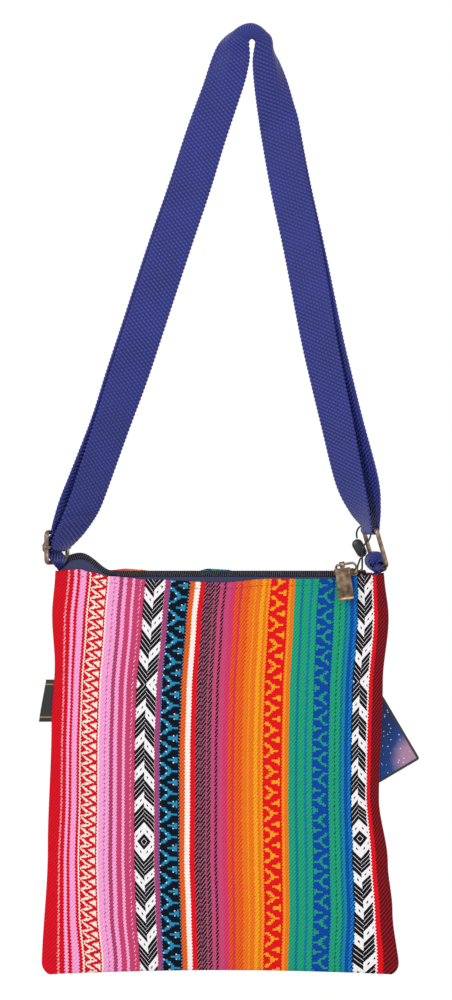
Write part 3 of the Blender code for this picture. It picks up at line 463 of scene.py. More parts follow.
STRIPES = (
    (6.4, RED, DEEP_RED), (0.9, ROSE, RED), (2.3, RED, DEEP_RED), (1.4, PALE_PINK, PINK),
    (2.1, RED, DEEP_RED), (2.6, PINK, PALE_PINK), (1.7, RED, DEEP_RED), (1.3, CREAM, WHITE),
    (10.9, RED, DEEP_RED), (0.8, CREAM, WHITE), (2.9, PINK, PALE_PINK), (0.9, PINK, DARK_MAUVE),
    (2.7, PINK, PALE_PINK), (2.0, MAUVE, DARK_MAUVE), (2.8, PINK, PALE_PINK), (2.8, MAUVE, CRIMSON),
    (1.7, PALE_PINK, PINK), (3.8, MAUVE, CRIMSON), (0.7, MAUVE, PALE_PINK), (2.4, MAUVE, CRIMSON),
    (12.7, WHITE, WHITE), (1.9, PLUM, MAUVE), (0.9, VIOLET, PLUM), (13.7, NAVY, NAVY),
    (2.7, ORANGE, FLAME), (3.5, CREAM, WHITE), (3.1, RED, BRIGHT_RED), (2.9, BLACK, DIM_ROSE),
    (1.0, PLUM, BLACK), (2.7, BLACK, DIM_ROSE), (1.4, MAUVE, PLUM), (2.4, BLACK, DIM_ROSE),
    (2.4, MAUVE, MAGENTA), (1.1, BLACK, MAUVE), (3.6, MAUVE, MAGENTA), (3.6, CRIMSON, MAGENTA),
    (1.9, FLAME, ORANGE), (2.3, CRIMSON, FLAME), (2.3, ORANGE, FLAME), (1.9, ORANGE, RED),
    (3.4, ORANGE, AMBER), (1.2, AMBER, GOLD), (3.1, ORANGE, AMBER), (2.7, GOLD, AMBER),
    (1.5, ORANGE, AMBER), (1.5, AMBER, GOLD), (12.6, BRIGHT_RED, BRIGHT_RED), (1.9, AMBER, GOLD),
    (1.8, ORANGE, AMBER), (0.4, CREAM, WHITE), (4.4, GREEN, LEAF), (1.4, TEAL, SEA), (4.0, GREEN, LEAF),
    (1.9, SEA, TEAL), (2.8, GREEN, LEAF), (11.3, ROYAL, ROYAL), (2.7, GREEN, LEAF), (1.3, GREEN, NAVY),
    (2.2, GREEN, LEAF), (1.5, BLUE, GREEN), (2.2, SEA, GREEN), (2.3, ROYAL, BLUE), (1.9, BLUE, SKY),
    (9.9, WHITE, WHITE), (2.5, BRIGHT_RED, RED), (7.3, MAROON, BRICK),
)
WARP_WIDTH = sum(width for width, _, _ in STRIPES)
RAMP_LIMIT = 31
print("warp", len(STRIPES), "stripes,", round(WARP_WIDTH, 1), "mm")


def stripe_start(index):
    return sum(width for width, _, _ in STRIPES[:index])


def band_place(colours, number=0):
    """Where a patterned band starts on the warp and how wide it is, by its ground colours."""
    found = [i for i, row in enumerate(STRIPES) if row[1:] == colours and row[0] > 9]
    return stripe_start(found[number]), STRIPES[found[number]][0]


# %% [markdown]
# A ramp holds at most 32 steps, so the warp takes three of them side by side. The ground colour
# and the second yarn's colour each have such a set. The second yarn shows in short diagonal
# flecks, which is what a twill looks like from half a metre away.

# %% Warp ramps, twill and the woven bands
TWILL_PITCH = 2.05
TWILL_SLOPE = 0.72
EDGE_PITCH = 2.1
EDGE_STEP = 0.3
THREAD = 1.05
PICK = 1.2


def warp_ramp(across, which):
    """The stripes' colours over the warp; across runs from 0 to 1."""
    chosen = None
    for first in range(0, len(STRIPES), RAMP_LIMIT):
        block = STRIPES[first:first + RAMP_LIMIT]
        stops = [(stripe_start(first + i) / WARP_WIDTH, row[which]) for i, row in enumerate(block)]
        colours = ramped(across, stops, "CONSTANT")
        chosen = mixed(across > stops[0][0], chosen, colours) if chosen else colours
    return chosen


def snapped(value, step):
    """A coordinate that moves in whole threads, so that a motif has the weave's small steps."""
    return value.math("SNAP", step) + step / 2


def inside(value, low, high):
    return (value > low) & (value < high)


def near(value, middle, reach):
    return abs(value - middle) < reach


def triangle_wave(down, period, peak):
    """1 at the peak, 0 half a period away, and so on down the cloth."""
    return down.scaled(2 / period, 1 - 2 * peak / period).math("PINGPONG", 1.0)


def share_of_band(across, start, width, mirrored=False):
    place = (across - start) * (1 / width)
    return 1.0 - place if mirrored else place


def motif_band(across, down, start, width, period, peak, mirrored=False):
    """Arrowheads across the band, each with a spike, and a club between two of them."""
    place = share_of_band(across, start, width, mirrored)
    wave = triangle_wave(down, period, peak)
    stroke = near(place - wave.scaled(0.62, -0.04), 0.0, 0.112) & (wave > 0.3)
    spike = inside(place, 0.64, 0.86) & (wave > 0.91)
    club = (wave < place.scaled(0.95, -0.51)) & inside(place, 0.6, 0.9)
    stem = inside(place, 0.46, 0.7) & (wave < 0.09)
    return stroke | spike | club | stem


def motif_glints(across, down, start, width, period, peak, mirrored=False):
    """Pale dots where a float ends: inside the arrowheads and at the club's corners."""
    place = share_of_band(across, start, width, mirrored)
    wave = triangle_wave(down, period, peak)
    arms = near(place, 0.36, 0.03) & near(wave, 0.76, 0.055)
    tails = near(place, 0.1, 0.028) & near(wave, 0.3, 0.055)
    corners = near(place, 0.7, 0.028) & near(wave, 0.23, 0.05)
    return arms | tails | corners


def comb_band(across, down, start, width, period, peak):
    """1 where a dense cream comb shows between a red zigzag line and red teeth at the left."""
    place = share_of_band(across, start, width)
    wave = triangle_wave(down, period, peak)
    away = abs(place - wave.scaled(0.6, 0.34))
    clear = (away > 0.175) & (place > wave * 0.4) & inside(place, 0.06, 0.93)
    left_dots = near(place, 0.2, 0.045) & near(wave, 0.0, 0.16)
    right_dots = near(place, 0.47, 0.045) & near(wave, 1.0, 0.16)
    return clear.math("SUBTRACT", left_dots | right_dots, use_clamp=True)


def border_dots(across, down, start, width, pitch):
    """Short pale dashes along both borders of a band."""
    place = share_of_band(across, start, width)
    beat = (down * (1 / pitch)).fract()
    return (near(place, 0.045, 0.03) | near(place, 0.965, 0.03)) & inside(beat, 0.0, 0.4)


# %% [markdown]
# The black and white bands are arrows. Their lines lean away from the middle of the band, thick
# white ones between groups of fine black ones. The lean turns round twice on the way down, once
# to a cross and once to a closed diamond, as the weaver reversed the lifting order.

# %% Arrow bands
ARROW_LEAN = 1.2
ARROW_PERIOD = 19.8
ARROW_WHITE = (8.4, 0.37)
FINE_PITCH = 3.23
FINE_BLACK = 0.88
FIRST_TURN = 67.2
SECOND_TURN = 167.4
RIGHT_LATE = 5.0
LATE_ZONE = (12.0, 30.0)
ARROW_DOTS = (2.1, 4.7)
DOT_REACH = 0.48


def arrow_band(across, down, start, width):
    """1 where the band is black."""
    sideways = across - (start + width / 2)
    from_middle = abs(sideways)
    to_second = abs(down - SECOND_TURN)
    above = abs(down - FIRST_TURN)
    below = SECOND_TURN - FIRST_TURN - to_second
    past = down > (FIRST_TURN + SECOND_TURN) / 2
    inputs = {0: past, 2: above, 3: below}
    height = Value(down.tree, add(down.tree, "ShaderNodeMix", inputs, data_type="FLOAT"))
    late = to_second.mapped(*LATE_ZONE, 0.0, -RIGHT_LATE)
    rise = (sideways > 0.0).scaled(late, height - from_middle * ARROW_LEAN)
    turn = rise.scaled(1 / ARROW_PERIOD, -ARROW_WHITE[0] / ARROW_PERIOD).fract()
    lines = ARROW_PERIOD / FINE_PITCH
    fine = turn.scaled(lines, -ARROW_WHITE[1] * lines).fract() < FINE_BLACK
    columns = near(from_middle, ARROW_DOTS[0], DOT_REACH) | near(from_middle, ARROW_DOTS[1], DOT_REACH)
    dots = columns & near(turn, ARROW_WHITE[1] / 2, 0.033)
    return ((turn > ARROW_WHITE[1]) & fine) | dots


# %% Cotton twill: dull, deep colours, a fine diagonal rib and thread-thick relief
NAVY_MOTIF = (13.96, 107.8)
RED_MOTIF = (13.4, 122.9)
BLUE_MOTIF = (13.0, 128.1)
COMB_MOTIF = (6.67, 114.1)
COMB_THREAD = 0.7
COMB_PICK = 0.56
BORDER_PITCH = 2.05


def cloth_material():
    made, tree, shader = finish_material("sarape_cotton_twill", 0.88, Specular_IOR_Level=0.1)
    across, down = [part * (1 / MM) for part in flat_coordinates(tree)]
    across = across.math("WRAP", WARP_WIDTH, 0.0)
    stepped = down.scaled(math.tau / EDGE_PITCH, across).sine().scaled(EDGE_STEP, across)
    share = stepped * (1 / WARP_WIDTH)

    slope = down.scaled(TWILL_SLOPE, across)
    rib = (slope * (1 / TWILL_PITCH)).fract()
    pick = (down * (1 / PICK)).fract()
    fleck = inside(rib, 0.0, 0.4) & inside(pick, 0.0, 0.84)
    colour = mixed(fleck, warp_ramp(share, 1), warp_ramp(share, 2))

    cloth = (across, down)
    weave = (snapped(across, THREAD), snapped(down, PICK))
    comb_weave = (snapped(across, COMB_THREAD), snapped(down, COMB_PICK))
    combs = band_place((RED, DEEP_RED))
    navy, red, royal = [band_place((code, code)) for code in (NAVY, BRIGHT_RED, ROYAL)]
    bands = [
        (comb_band(*comb_weave, *combs, *COMB_MOTIF), combs, CREAM, "#F6DFC8"),
        (motif_band(*weave, *navy, *NAVY_MOTIF), navy, SKY, "#2E86A8"),
        (motif_glints(*cloth, *navy, *NAVY_MOTIF), navy, WHITE, WHITE),
        (border_dots(*cloth, *navy, BORDER_PITCH), navy, "#7C90AC", "#4A5C78"),
        (motif_band(*weave, *red, *RED_MOTIF), red, GOLD, AMBER),
        (motif_glints(*cloth, *red, *RED_MOTIF), red, MAROON, MAROON),
        (motif_band(*weave, *royal, *BLUE_MOTIF, True), royal, GREEN, "#2E9C92"),
        (motif_glints(*cloth, *royal, *BLUE_MOTIF, True), royal, NAVY, NAVY),
    ]
    for number in (0, 1):
        arrows = band_place((WHITE, WHITE), number)
        bands.append((arrow_band(*cloth, *arrows), arrows, BLACK, "#201A22"))
    for mask, (start, width), code, other in bands:
        here = inside(stepped, start, start + width)
        colour = mixed(mask & here, colour, mixed(fleck, code, other))

    shade = ramped(noise(tree, 900.0, 2.0), [(0.25, "#C8C8C8"), (0.75, "#FFFFFF")])
    colour = mixed(0.3, colour, shade, blend_type="MULTIPLY")
    threads = across.sine(math.tau / THREAD)
    relief = threads.scaled(0.3, slope.sine(math.tau / TWILL_PITCH))
    dress(tree, shader, colour, relief, 0.7, 0.16 * MM)
    return made


SARAPE = cloth_material()
print("cloth material has", len(SARAPE.node_tree.nodes), "nodes")


# %% [markdown]
# ## The two panels
# Each panel is one cut of the cloth: hemmed at the mouth, seamed at both sides and below. The
# surface follows the solid and adds what cloth does: soft vertical waves, small puckers where the
# seams pull, and a thicker hem. The stripes don't run parallel to the side seams, because the
# cloth was cut a little askew, so a few measured lines tell where each stripe passes.

# %% The bag's surface
LEFT_FLARE = ((0.0, 0.0), (0.11, 2.0), (0.23, 0.3), (0.38, 2.4), (0.69, 4.8), (1.0, 8.8))
RIGHT_FLARE = ((0.0, 0.3), (0.11, 3.1), (0.27, -0.6), (0.56, -3.1), (0.72, 2.6), (0.84, 5.6), (1.0, 10.0))
FRONT_HEM = (
    (0.0, 1.9), (0.074, 2.9), (0.105, 1.2), (0.166, -1.6), (0.279, -3.5), (0.506, -5.6),
    (0.65, -3.2), (0.827, -3.2), (0.918, -1.7), (1.0, -0.3),
)
BACK_HEM = (
    (0.0, 0.4), (0.12, 2.0), (0.17, 2.2), (0.215, 3.1), (0.26, 2.5), (0.31, 0.8), (0.42, 0.8), (0.465, 3.1),
    (0.52, 2.5), (0.56, 0.8), (0.7, 1.4), (0.88, 1.0), (1.0, 0.4),
)
BOTTOM_RISE = 2.8 * MM
CORNER_RADIUS = 8.0 * MM
CORNER_REACH = 25.0 * MM
SEAM_INSET = 7.0 * MM
BACK_CLOTH_SHIFT = 77.0 * MM


def side_edges(share):
    return BAG_LEFT - along(LEFT_FLARE, share, MM), BAG_RIGHT + along(RIGHT_FLARE, share, MM)


def front_hem(x):
    return BAG_TOP + along(FRONT_HEM, (x - BAG_LEFT) / BAG_WIDTH, MM)


def back_hem(x):
    return BAG_TOP + along(BACK_HEM, (x - BAG_LEFT) / BAG_WIDTH, MM)


def bottom_edge(across):
    return BAG_TOP - BAG_HEIGHT + BOTTOM_RISE * math.sin(math.pi * across)


def half_depth(across, down):
    from_middle = abs(2 * across - 1)
    power = 8 + 16 * max(0.0, 1 - down / 0.15)
    rise = math.sin(min(1.0, down / 0.5) * math.pi / 2)
    full = MOUTH_HALF_DEPTH + (BELLY_HALF_DEPTH - MOUTH_HALF_DEPTH) * rise - SEAM_HALF_DEPTH
    return SEAM_HALF_DEPTH + full * (1 - from_middle ** power) * (1 - down ** 10)


def cloth_point(across, down, hem, facing, inset=0.0, inward=0.0):
    """A point of a panel: across 0 to 1 from the left, down 0 to 1 from the hem."""
    left, right = side_edges(down)
    left += inset
    right -= inset
    x = left + across * (right - left)
    height = hem(x) - bottom_edge(across) - inset
    to_bottom = (1 - down) * height
    if to_bottom < CORNER_RADIUS:
        pull_in = CORNER_RADIUS - math.sqrt(CORNER_RADIUS ** 2 - (CORNER_RADIUS - to_bottom) ** 2)
        near_left = max(0.0, 1 - (x - left) / CORNER_REACH)
        near_right = max(0.0, 1 - (right - x) / CORNER_REACH)
        x += pull_in * (near_left ** 2 - near_right ** 2)
    whole_left, whole_right = side_edges(down)
    place = (x - whole_left) / (whole_right - whole_left) if inset else across
    z = hem(x) - down * height
    depth = half_depth(place, down * (1 - inset / BAG_HEIGHT)) - inward
    return Vector((x, facing * max(depth, SEAM_HALF_DEPTH - inward, GAP / 2 + LINING / 2), z))


# %% [markdown]
# Each line below is one height on the photograph, with the columns at which ten edges between
# stripes cross it. The first and the last are the side seams.

# %% Where the stripes run
EDGE_STRIPES = (0, 8, 20, 23, 27, 46, 50, 55, 63, len(STRIPES))
STRIPE_LINES = (
    (575, (56.5, 91.2, 145.4, 170.3, 205.4, 270.8, 295.0, 318.0, 356.9, 385.0)),
    (620, (52.0, 87.4, 142.2, 166.5, 200.3, 267.0, 292.7, 314.8, 356.6, 388.0)),
    (690, (53.0, 82.6, 136.2, 160.8, 195.8, 263.2, 288.9, 312.3, 351.4, 382.2)),
    (745, (51.6, 80.8, 134.8, 158.7, 194.4, 261.8, 287.7, 310.8, 350.2, 380.6)),
    (797, (51.0, 80.6, 134.4, 158.6, 194.2, 261.6, 287.3, 310.4, 349.9, 379.4)),
    (860, (47.8, 79.1, 134.4, 158.4, 193.6, 262.5, 288.0, 311.7, 351.5, 387.4)),
    (915, (46.4, 80.3, 136.0, 160.3, 195.4, 263.5, 288.8, 311.9, 353.6, 392.4)),
    (960, (43.0, 84.5, 139.7, 162.0, 196.6, 262.3, 287.4, 310.4, 351.2, 399.0)),
)


def warp_place(x, z):
    """The warp coordinate in mm of a point of the front panel."""
    heights = [photo_point(0, row)[1] for row, _ in STRIPE_LINES]
    z = min(heights[0], max(heights[-1], z))
    index = max(0, min(len(heights) - 2, sum(1 for h in heights if h > z) - 1))
    share = (heights[index] - z) / (heights[index] - heights[index + 1])
    share = share * share * (3 - 2 * share) * 0.5 + share * 0.5
    upper = np.array(STRIPE_LINES[index][1])
    lower = np.array(STRIPE_LINES[index + 1][1])
    edges = [photo_point(c, 0)[0] for c in upper + (lower - upper) * share]
    return float(np.interp(x, edges, [stripe_start(i) for i in EDGE_STRIPES]))


CALM_REACH = 22 * MM
SHORT_WAVE = 17 * MM
LONG_WAVE = 41 * MM
PUCKER_REACH = 7 * MM
SEAM_WIDTH = 1.5 * MM
FOOT_PUCKER = 4.6 * MM
FOOT_WANDER = 13 * MM
HEM_PUCKER = 1.9 * MM
HEM_SEAM_DOWN = 0.017


def cloth_relief(x, down, facing):
    """Soft waves and seam puckers, out of the panel's surface."""
    left, right = side_edges(down)
    to_seam = min(x - left, right - x)
    calm = min(1.0, to_seam / CALM_REACH) * min(1.0, down / 0.12) * min(1.0, (1 - down) / 0.08)
    waves = 0.55 * math.sin(x / SHORT_WAVE + 1.3 * math.sin(4.1 * down + facing)) * math.sin(2.4 * down + 0.6)
    waves += 0.35 * math.sin(x / LONG_WAVE - 5.0 * down + 2.0 * facing)
    pucker_fade = math.exp(-max(0.0, to_seam) / PUCKER_REACH) * min(1.0, max(0.0, to_seam) / SEAM_WIDTH)
    puckers = 0.5 * pucker_fade * math.sin(down * 96 + 2.2 * math.sin(down * 19)) * min(1.0, down / 0.05)
    bottom_fade = math.exp(-(1 - down) * 30) * min(1.0, (1 - down) * 120)
    bottom = 0.45 * bottom_fade * math.sin(x / FOOT_PUCKER + 1.7 * math.sin(x / FOOT_WANDER))
    from_hem = down - HEM_SEAM_DOWN
    hem = 0.18 * math.exp(-(from_hem / 0.01) ** 2) * math.sin(x / HEM_PUCKER)
    hem -= 0.3 * math.exp(-(from_hem / 0.005) ** 2)
    return (0.8 * calm * waves + puckers + bottom + hem) * MM


# %% [markdown]
# At the side seams and along the bottom the cloth turns in towards the other panel. So the last
# columns and rows of the grid stand close together and step round a small roll, which leaves a
# fine groove between the panels, as a seam turned to the inside does.

# %% Panels
PANEL_COLUMNS = 150
PANEL_ROWS = 176
ROLL = ((0.6, 0.1), (0.6, 0.5), (0.72, 0.78), (1.1, 0.95), (1.7, 1.0))


def rolled_shares(count, length, both_ends):
    """Places over 0 to 1 and, for each, how much of the panel's depth is left."""
    inner = [(inset * MM / length, depth) for inset, depth in ROLL]
    first = inner[-1][0] if both_ends else 0.0
    even = [(share, 1.0) for share in np.linspace(first, 1 - inner[-1][0], count)]
    last = [(1 - share, depth) for share, depth in reversed(inner[:-1])]
    return (inner[:-1] if both_ends else []) + even + last


def panel(name, hem, facing, node):
    columns = rolled_shares(PANEL_COLUMNS, BAG_WIDTH, True)
    rows = rolled_shares(PANEL_ROWS, BAG_HEIGHT, False)
    points = np.zeros((len(rows), len(columns), 3))
    flat = np.zeros((len(rows), len(columns), 2))
    half = np.full((len(rows), len(columns)), CLOTH / 2)
    for r, (down, row_depth) in enumerate(rows):
        for c, (across, column_depth) in enumerate(columns):
            spot = cloth_point(across, down, hem, facing)
            depth = min(row_depth, column_depth)
            relief = facing * cloth_relief(spot.x, down, facing) if depth == 1.0 else 0.0
            points[r, c] = (spot.x, spot.y * depth + relief, spot.z)
            fallen = hem(spot.x) - spot.z
            if facing < 0:
                flat[r, c] = (warp_place(spot.x, spot.z) * MM, fallen)
            else:
                flat[r, c] = (across * WARP_WIDTH * MM + BACK_CLOTH_SHIFT, BAG_HEIGHT - fallen)
            half[r, c] *= 0.8 if depth < 1.0 else 1.0
    half[0] *= 0.6
    half[1] *= 0.9
    made = cloth_shell(name, points, flat, half, SARAPE)
    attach(made, "bag")
    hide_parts(node)
    print(name, len(made.data.polygons), "faces")
    return made


panel("front_cloth", front_hem, -1, "front_panel")
panel("back_cloth", back_hem, 1, "back_panel")


# %% [markdown]
# ## Rows of stitches and zip teeth
# A stitch line and a zip's coil are the same thing to build: one small rounded piece repeated at
# an even pitch along a line. Geometry Nodes do that from the line, the pitch, the piece's half
# sizes and the direction that the surface faces. The result is kept as a plain mesh.

# %% The tree for rows of small pieces
def row_tree():
    tree = bpy.data.node_groups.new("pieces_along_a_line", "GeometryNodeTree")
    for name, kind in (("Line", "Geometry"), ("Pitch", "Float"), ("Half size", "Vector"),
                       ("Outward", "Vector"), ("Unevenness", "Float"), ("Seed", "Int"),
                       ("Finish", "Material")):
        tree.interface.new_socket(name=name, in_out="INPUT", socket_type="NodeSocket" + kind)
    tree.interface.new_socket(name="Pieces", in_out="OUTPUT", socket_type="NodeSocketGeometry")
    given = add(tree, "NodeGroupInput").outputs
    line = add(tree, "GeometryNodeMeshToCurve", {"Mesh": given["Line"]})
    turned = add(tree, "GeometryNodeSetCurveNormal", {"Curve": line, "Normal": given["Outward"]}, mode="FREE")
    inputs = {"Curve": turned, "Length": given["Pitch"]}
    places = add(tree, "GeometryNodeCurveToPoints", inputs, mode="LENGTH")
    ball = add(tree, "GeometryNodeMeshUVSphere", {"Segments": 10, "Rings": 7, "Radius": 1.0})
    soft = add(tree, "GeometryNodeSetShadeSmooth", {"Geometry": ball.outputs["Mesh"]})
    piece = add(tree, "GeometryNodeTransform", {"Geometry": soft, "Scale": given["Half size"]})
    uneven = Value(tree, given["Unevenness"])
    vary = add(tree, "FunctionNodeRandomValue", {
        "Min": 1.0 - uneven, "Max": uneven + 1.0, "Seed": given["Seed"]}, data_type="FLOAT")
    laid = add(tree, "GeometryNodeInstanceOnPoints", {
        "Points": places.outputs["Points"], "Instance": piece, "Rotation": places.outputs["Rotation"],
        "Scale": vary.outputs[1]})
    real = add(tree, "GeometryNodeRealizeInstances", {"Geometry": laid})
    dressed = add(tree, "GeometryNodeSetMaterial", {"Geometry": real, "Material": given["Finish"]})
    add(tree, "NodeGroupOutput", {"Pieces": dressed})
    return tree


ROWS = row_tree()
ROW_SEED = 1


def laid_along(name, lines, material, pitch, half_size, outward, unevenness=0.06):
    """Small rounded pieces along polylines; half sizes are outward, sideways and along the line."""
    points = [tuple(p) for line in lines for p in line]
    edges = []
    first = 0
    for line in lines:
        edges += [(first + k, first + k + 1) for k in range(len(line) - 1)]
        first += len(line)
    guide = bpy.data.meshes.new(name + "_line")
    guide.from_pydata(points, edges, [])
    carrier = new_object(name + "_line", guide, None)
    step = carrier.modifiers.new("rows", "NODES")
    step.node_group = ROWS
    values = {"Pitch": pitch, "Half size": half_size, "Outward": tuple(outward), "Unevenness": unevenness,
              "Seed": ROW_SEED, "Finish": material}
    for item in ROWS.interface.items_tree:
        if item.name in values:
            step[item.identifier] = values[item.name]
    graph = bpy.context.evaluated_depsgraph_get()
    mesh = bpy.data.meshes.new_from_object(carrier.evaluated_get(graph))
    bpy.data.objects.remove(carrier, do_unlink=True)
    mesh.name = name
    made = new_object(name, mesh, None)
    print(name, len(mesh.polygons), "faces")
    return made


# %% Sewing thread: twisted polyester, dull, sunk a little into the cloth
def thread_material(name, code):
    made, tree, shader = finish_material(name, 0.6)
    turn = noise(tree, 2600.0, 1.0)
    shade = ramped(turn, [(0.3, "#6E6E6E"), (0.7, "#FFFFFF")])
    dress(tree, shader, mixed(1.0, code, shade, blend_type="MULTIPLY"), turn, 0.4, 0.05 * MM)
    return made


PLUM_THREAD = thread_material("plum_sewing_thread", "#5A1F3C")
NAVY_THREAD = thread_material("navy_sewing_thread", "#14184A")


# %% [markdown]
# The hem of each panel is turned in once and sewn with a lockstitch, 4.2 mm below its edge.
# The thread lies in a shallow valley, so the line of stitches stands out by less than its own
# thickness.

# %% Hem stitches
HEM_STITCH_DOWN = 4.2 * MM
STITCH_PITCH = 3.2 * MM
STITCH_HALF = (0.16 * MM, 0.26 * MM, 1.25 * MM)


def hem_line(hem, facing):
    line = []
    for across in np.linspace(0.012, 0.988, 240):
        x = BAG_LEFT + across * BAG_WIDTH
        down = HEM_STITCH_DOWN / (hem(x) - bottom_edge(across))
        spot = cloth_point(across, down, hem, facing)
        lift = cloth_relief(spot.x, down, facing) + CLOTH / 2 - 0.05 * MM
        line.append(spot + Vector((0, facing * lift, 0)))
    return line


for side, hem, facing in (("front", front_hem, -1), ("back", back_hem, 1)):
    stitches = laid_along(side + "_hem_stitches", [hem_line(hem, facing)], PLUM_THREAD, STITCH_PITCH,
                          STITCH_HALF, (0, facing, 0))
    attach(stitches, "bag")


# %% [markdown]
# ## Lining
# A navy polyester lining hangs inside, smaller than the bag on all sides. Little of it shows, yet
# a bag without it would look hollow.

# %% Lining: plain-weave polyester, slightly shiny, 0.5 mm threads drawn at 0.7 mm to show
LINING_THREAD = 0.7


def woven_material(name, code, dark, thread, roughness, depth):
    """A plain weave on the piece's own flat coordinates."""
    made, tree, shader = finish_material(name, roughness)
    across, down = [part.sine(math.pi / (thread * MM)) for part in flat_coordinates(tree)]
    weave = across * down
    # The colour follows the weave's relief: lighter on the raised cells and painted shade in the sunk ones,
    # mixed with random tone from the noise.
    level = noise(tree, 60.0, 3.0).scaled(0.5, weave.mapped(-1.0, 1.0))
    dress(tree, shader, ramped(level, [(0.2, dark), (1.0, code)]), weave, 0.5, depth)
    return made


LINING_CLOTH = woven_material("navy_polyester_lining", "#333B63", "#222745", LINING_THREAD, 0.6, 0.06 * MM)
LINING_INWARD = CLOTH / 2 + GAP + TAPE + GAP + LINING / 2
LINING_TOP = 0.03
LINING_ROWS = 70
LINING_COLUMNS = 64


def lining(name, facing, node):
    downs = np.linspace(LINING_TOP, 1.0, LINING_ROWS)
    shares = np.linspace(0.0, 1.0, LINING_COLUMNS)
    points = np.array([[cloth_point(a, d, front_hem, facing, SEAM_INSET, LINING_INWARD) for a in shares]
                       for d in downs])
    flat = np.array([[(a * BAG_WIDTH, d * BAG_HEIGHT) for a in shares] for d in downs])
    made = cloth_shell(name, points, flat, LINING / 2, LINING_CLOTH)
    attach(made, "bag")
    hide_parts(node)
    return made


lining("lining_leaf_front", -1, "lining_front")
lining("lining_leaf_back", 1, "lining_back")
print("lining made")


# %% [markdown]
# ## Zip
# The chain is a nylon coil zip, sewn in so that it rolls a little towards the front and rises in
# a hump at its left end, where the tape shows as a navy triangle. The tapes run flat through the
# slider and then down inside the panels. Each coil is drawn as a row of small rounded pieces, one
# for each turn of the nylon wire, and the two rows mesh.

# %% The zip's line
CHAIN_LEVEL = BAG_TOP - 0.4 * MM
CHAIN_Y = -0.6 * MM
CHAIN_ROLL = math.radians(40.0)
CHAIN_WIDTH = 4.6 * MM
CHAIN_THICK = 1.8 * MM
CHAIN_START = BAG_LEFT + 9.2 * MM
CHAIN_END = BAG_RIGHT - 11.9 * MM
TAPE_START = BAG_LEFT + 3.0 * MM
HUMP_X = BAG_LEFT + 16.0 * MM
HUMP_RISE = 11.2 * MM
HUMP_LEFT = 29.0 * MM
HUMP_RIGHT = 21.5 * MM
TAPE_DEPTH = 11.0 * MM
TAPE_TURN = 4.1 * MM
BACK_TAPE_TURN = 3.1 * MM
TAPE_BELOW_HEM = 1.0 * MM
TAPE_LEAST_DROP = 2.0 * MM
TAPE_MOST_DROP = 6.0 * MM
FORK_OPEN = 1.2 * MM
FORK_LENGTH = 4.0 * MM
FORK_START = 0.3 * MM
SLIDER_X = BAG_RIGHT - 24.3 * MM
ROLL_OUT = Vector((0, -math.sin(CHAIN_ROLL), math.cos(CHAIN_ROLL)))


def hump(x):
    reach = HUMP_LEFT if x < HUMP_X else HUMP_RIGHT
    share = min(1.0, abs(x - HUMP_X) / reach)
    return HUMP_RISE * math.cos(share * math.pi / 2) ** 2


def chain_point(x, sideways, height=0.0):
    y = CHAIN_Y + sideways * math.cos(CHAIN_ROLL) - height * math.sin(CHAIN_ROLL)
    z = CHAIN_LEVEL + hump(x) + sideways * math.sin(CHAIN_ROLL) + height * math.cos(CHAIN_ROLL)
    return Vector((x, y, z))


def fork(x):
    share = min(1.0, max(0.0, (x - SLIDER_X - FORK_START) / FORK_LENGTH))
    return FORK_OPEN * share * share * (3 - 2 * share)


# %% Tapes: woven polyester tape, a fine even rib
TAPE_CLOTH = woven_material("navy_zip_tape", "#2B3258", "#1A1F40", 0.6, 0.75, 0.05 * MM)
TAPE_ROW_STEP = 1.6 * MM
CORNER_COLUMNS = 8
TAPE_COLUMNS = 170


def tape(name, facing, hem, node):
    points = []
    flat = []
    reach = TAPE_TURN if facing < 0 else BACK_TAPE_TURN
    corner = list(np.linspace(TAPE_START, CHAIN_START, CORNER_COLUMNS + 1)[:-1])
    for x in corner + list(np.linspace(CHAIN_START, CHAIN_END, TAPE_COLUMNS)):
        share = (x - BAG_LEFT) / BAG_WIDTH
        inside_y = min(half_depth(share, 0.02) - CLOTH / 2 - GAP - TAPE / 2, MOUTH_HALF_DEPTH)
        edge = chain_point(x, facing * (CHAIN_WIDTH / 2 + GAP + fork(x)))
        turn = chain_point(x, facing * (reach + fork(x) / 2))
        fall = max(0.0, CHAIN_START - x) / (CHAIN_START - TAPE_START)
        edge.z -= fall * (edge.z - hem(x))
        turn.z -= fall * (turn.z - hem(x))
        drop = min(turn.z - TAPE_LEAST_DROP, max(hem(x) - TAPE_BELOW_HEM, turn.z - TAPE_MOST_DROP))
        down = [(x, facing * inside_y, z) for z in (drop, hem(x) - TAPE_DEPTH)]
        row = smooth_curve([edge, turn, *down], 3)
        points.append(row)
        flat.append([(x, k * TAPE_ROW_STEP) for k in range(len(row))])
    made = cloth_shell(name, np.array(points), np.array(flat), TAPE / 2, TAPE_CLOTH)
    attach(made, "bag")
    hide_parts(node)
    return made


tape("tape_front", -1, front_hem, "zip_tape_front")
tape("tape_back", 1, back_hem, "zip_tape_back")


# %% Coils: nylon monofilament, glossy dark grey with a violet tinge
TOOTH_PITCH = 1.35 * MM
COIL_HALF = 1.3 * MM
COIL_WIRE_HALF = 0.56 * MM
NYLON = grained_material("nylon_zip_coil", 0.34, 400.0, 2.0, [(0.3, "#221E26"), (0.7, "#3B3540")],
                         0.15, 0.05 * MM)


def coil(name, facing, node):
    start = CHAIN_START + (TOOTH_PITCH / 2 if facing > 0 else 0.0)
    line = [chain_point(x, facing * (CHAIN_WIDTH / 2 - COIL_HALF + fork(x)))
            for x in np.linspace(start, CHAIN_END, 420)]
    made = laid_along(name, [line], NYLON, TOOTH_PITCH, (CHAIN_THICK / 2, COIL_HALF, COIL_WIRE_HALF),
                      ROLL_OUT, 0.02)
    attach(made, "bag")
    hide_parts(node)
    return made


coil("coil_front", -1, "zip_coil_front")
coil("coil_back", 1, "zip_coil_back")


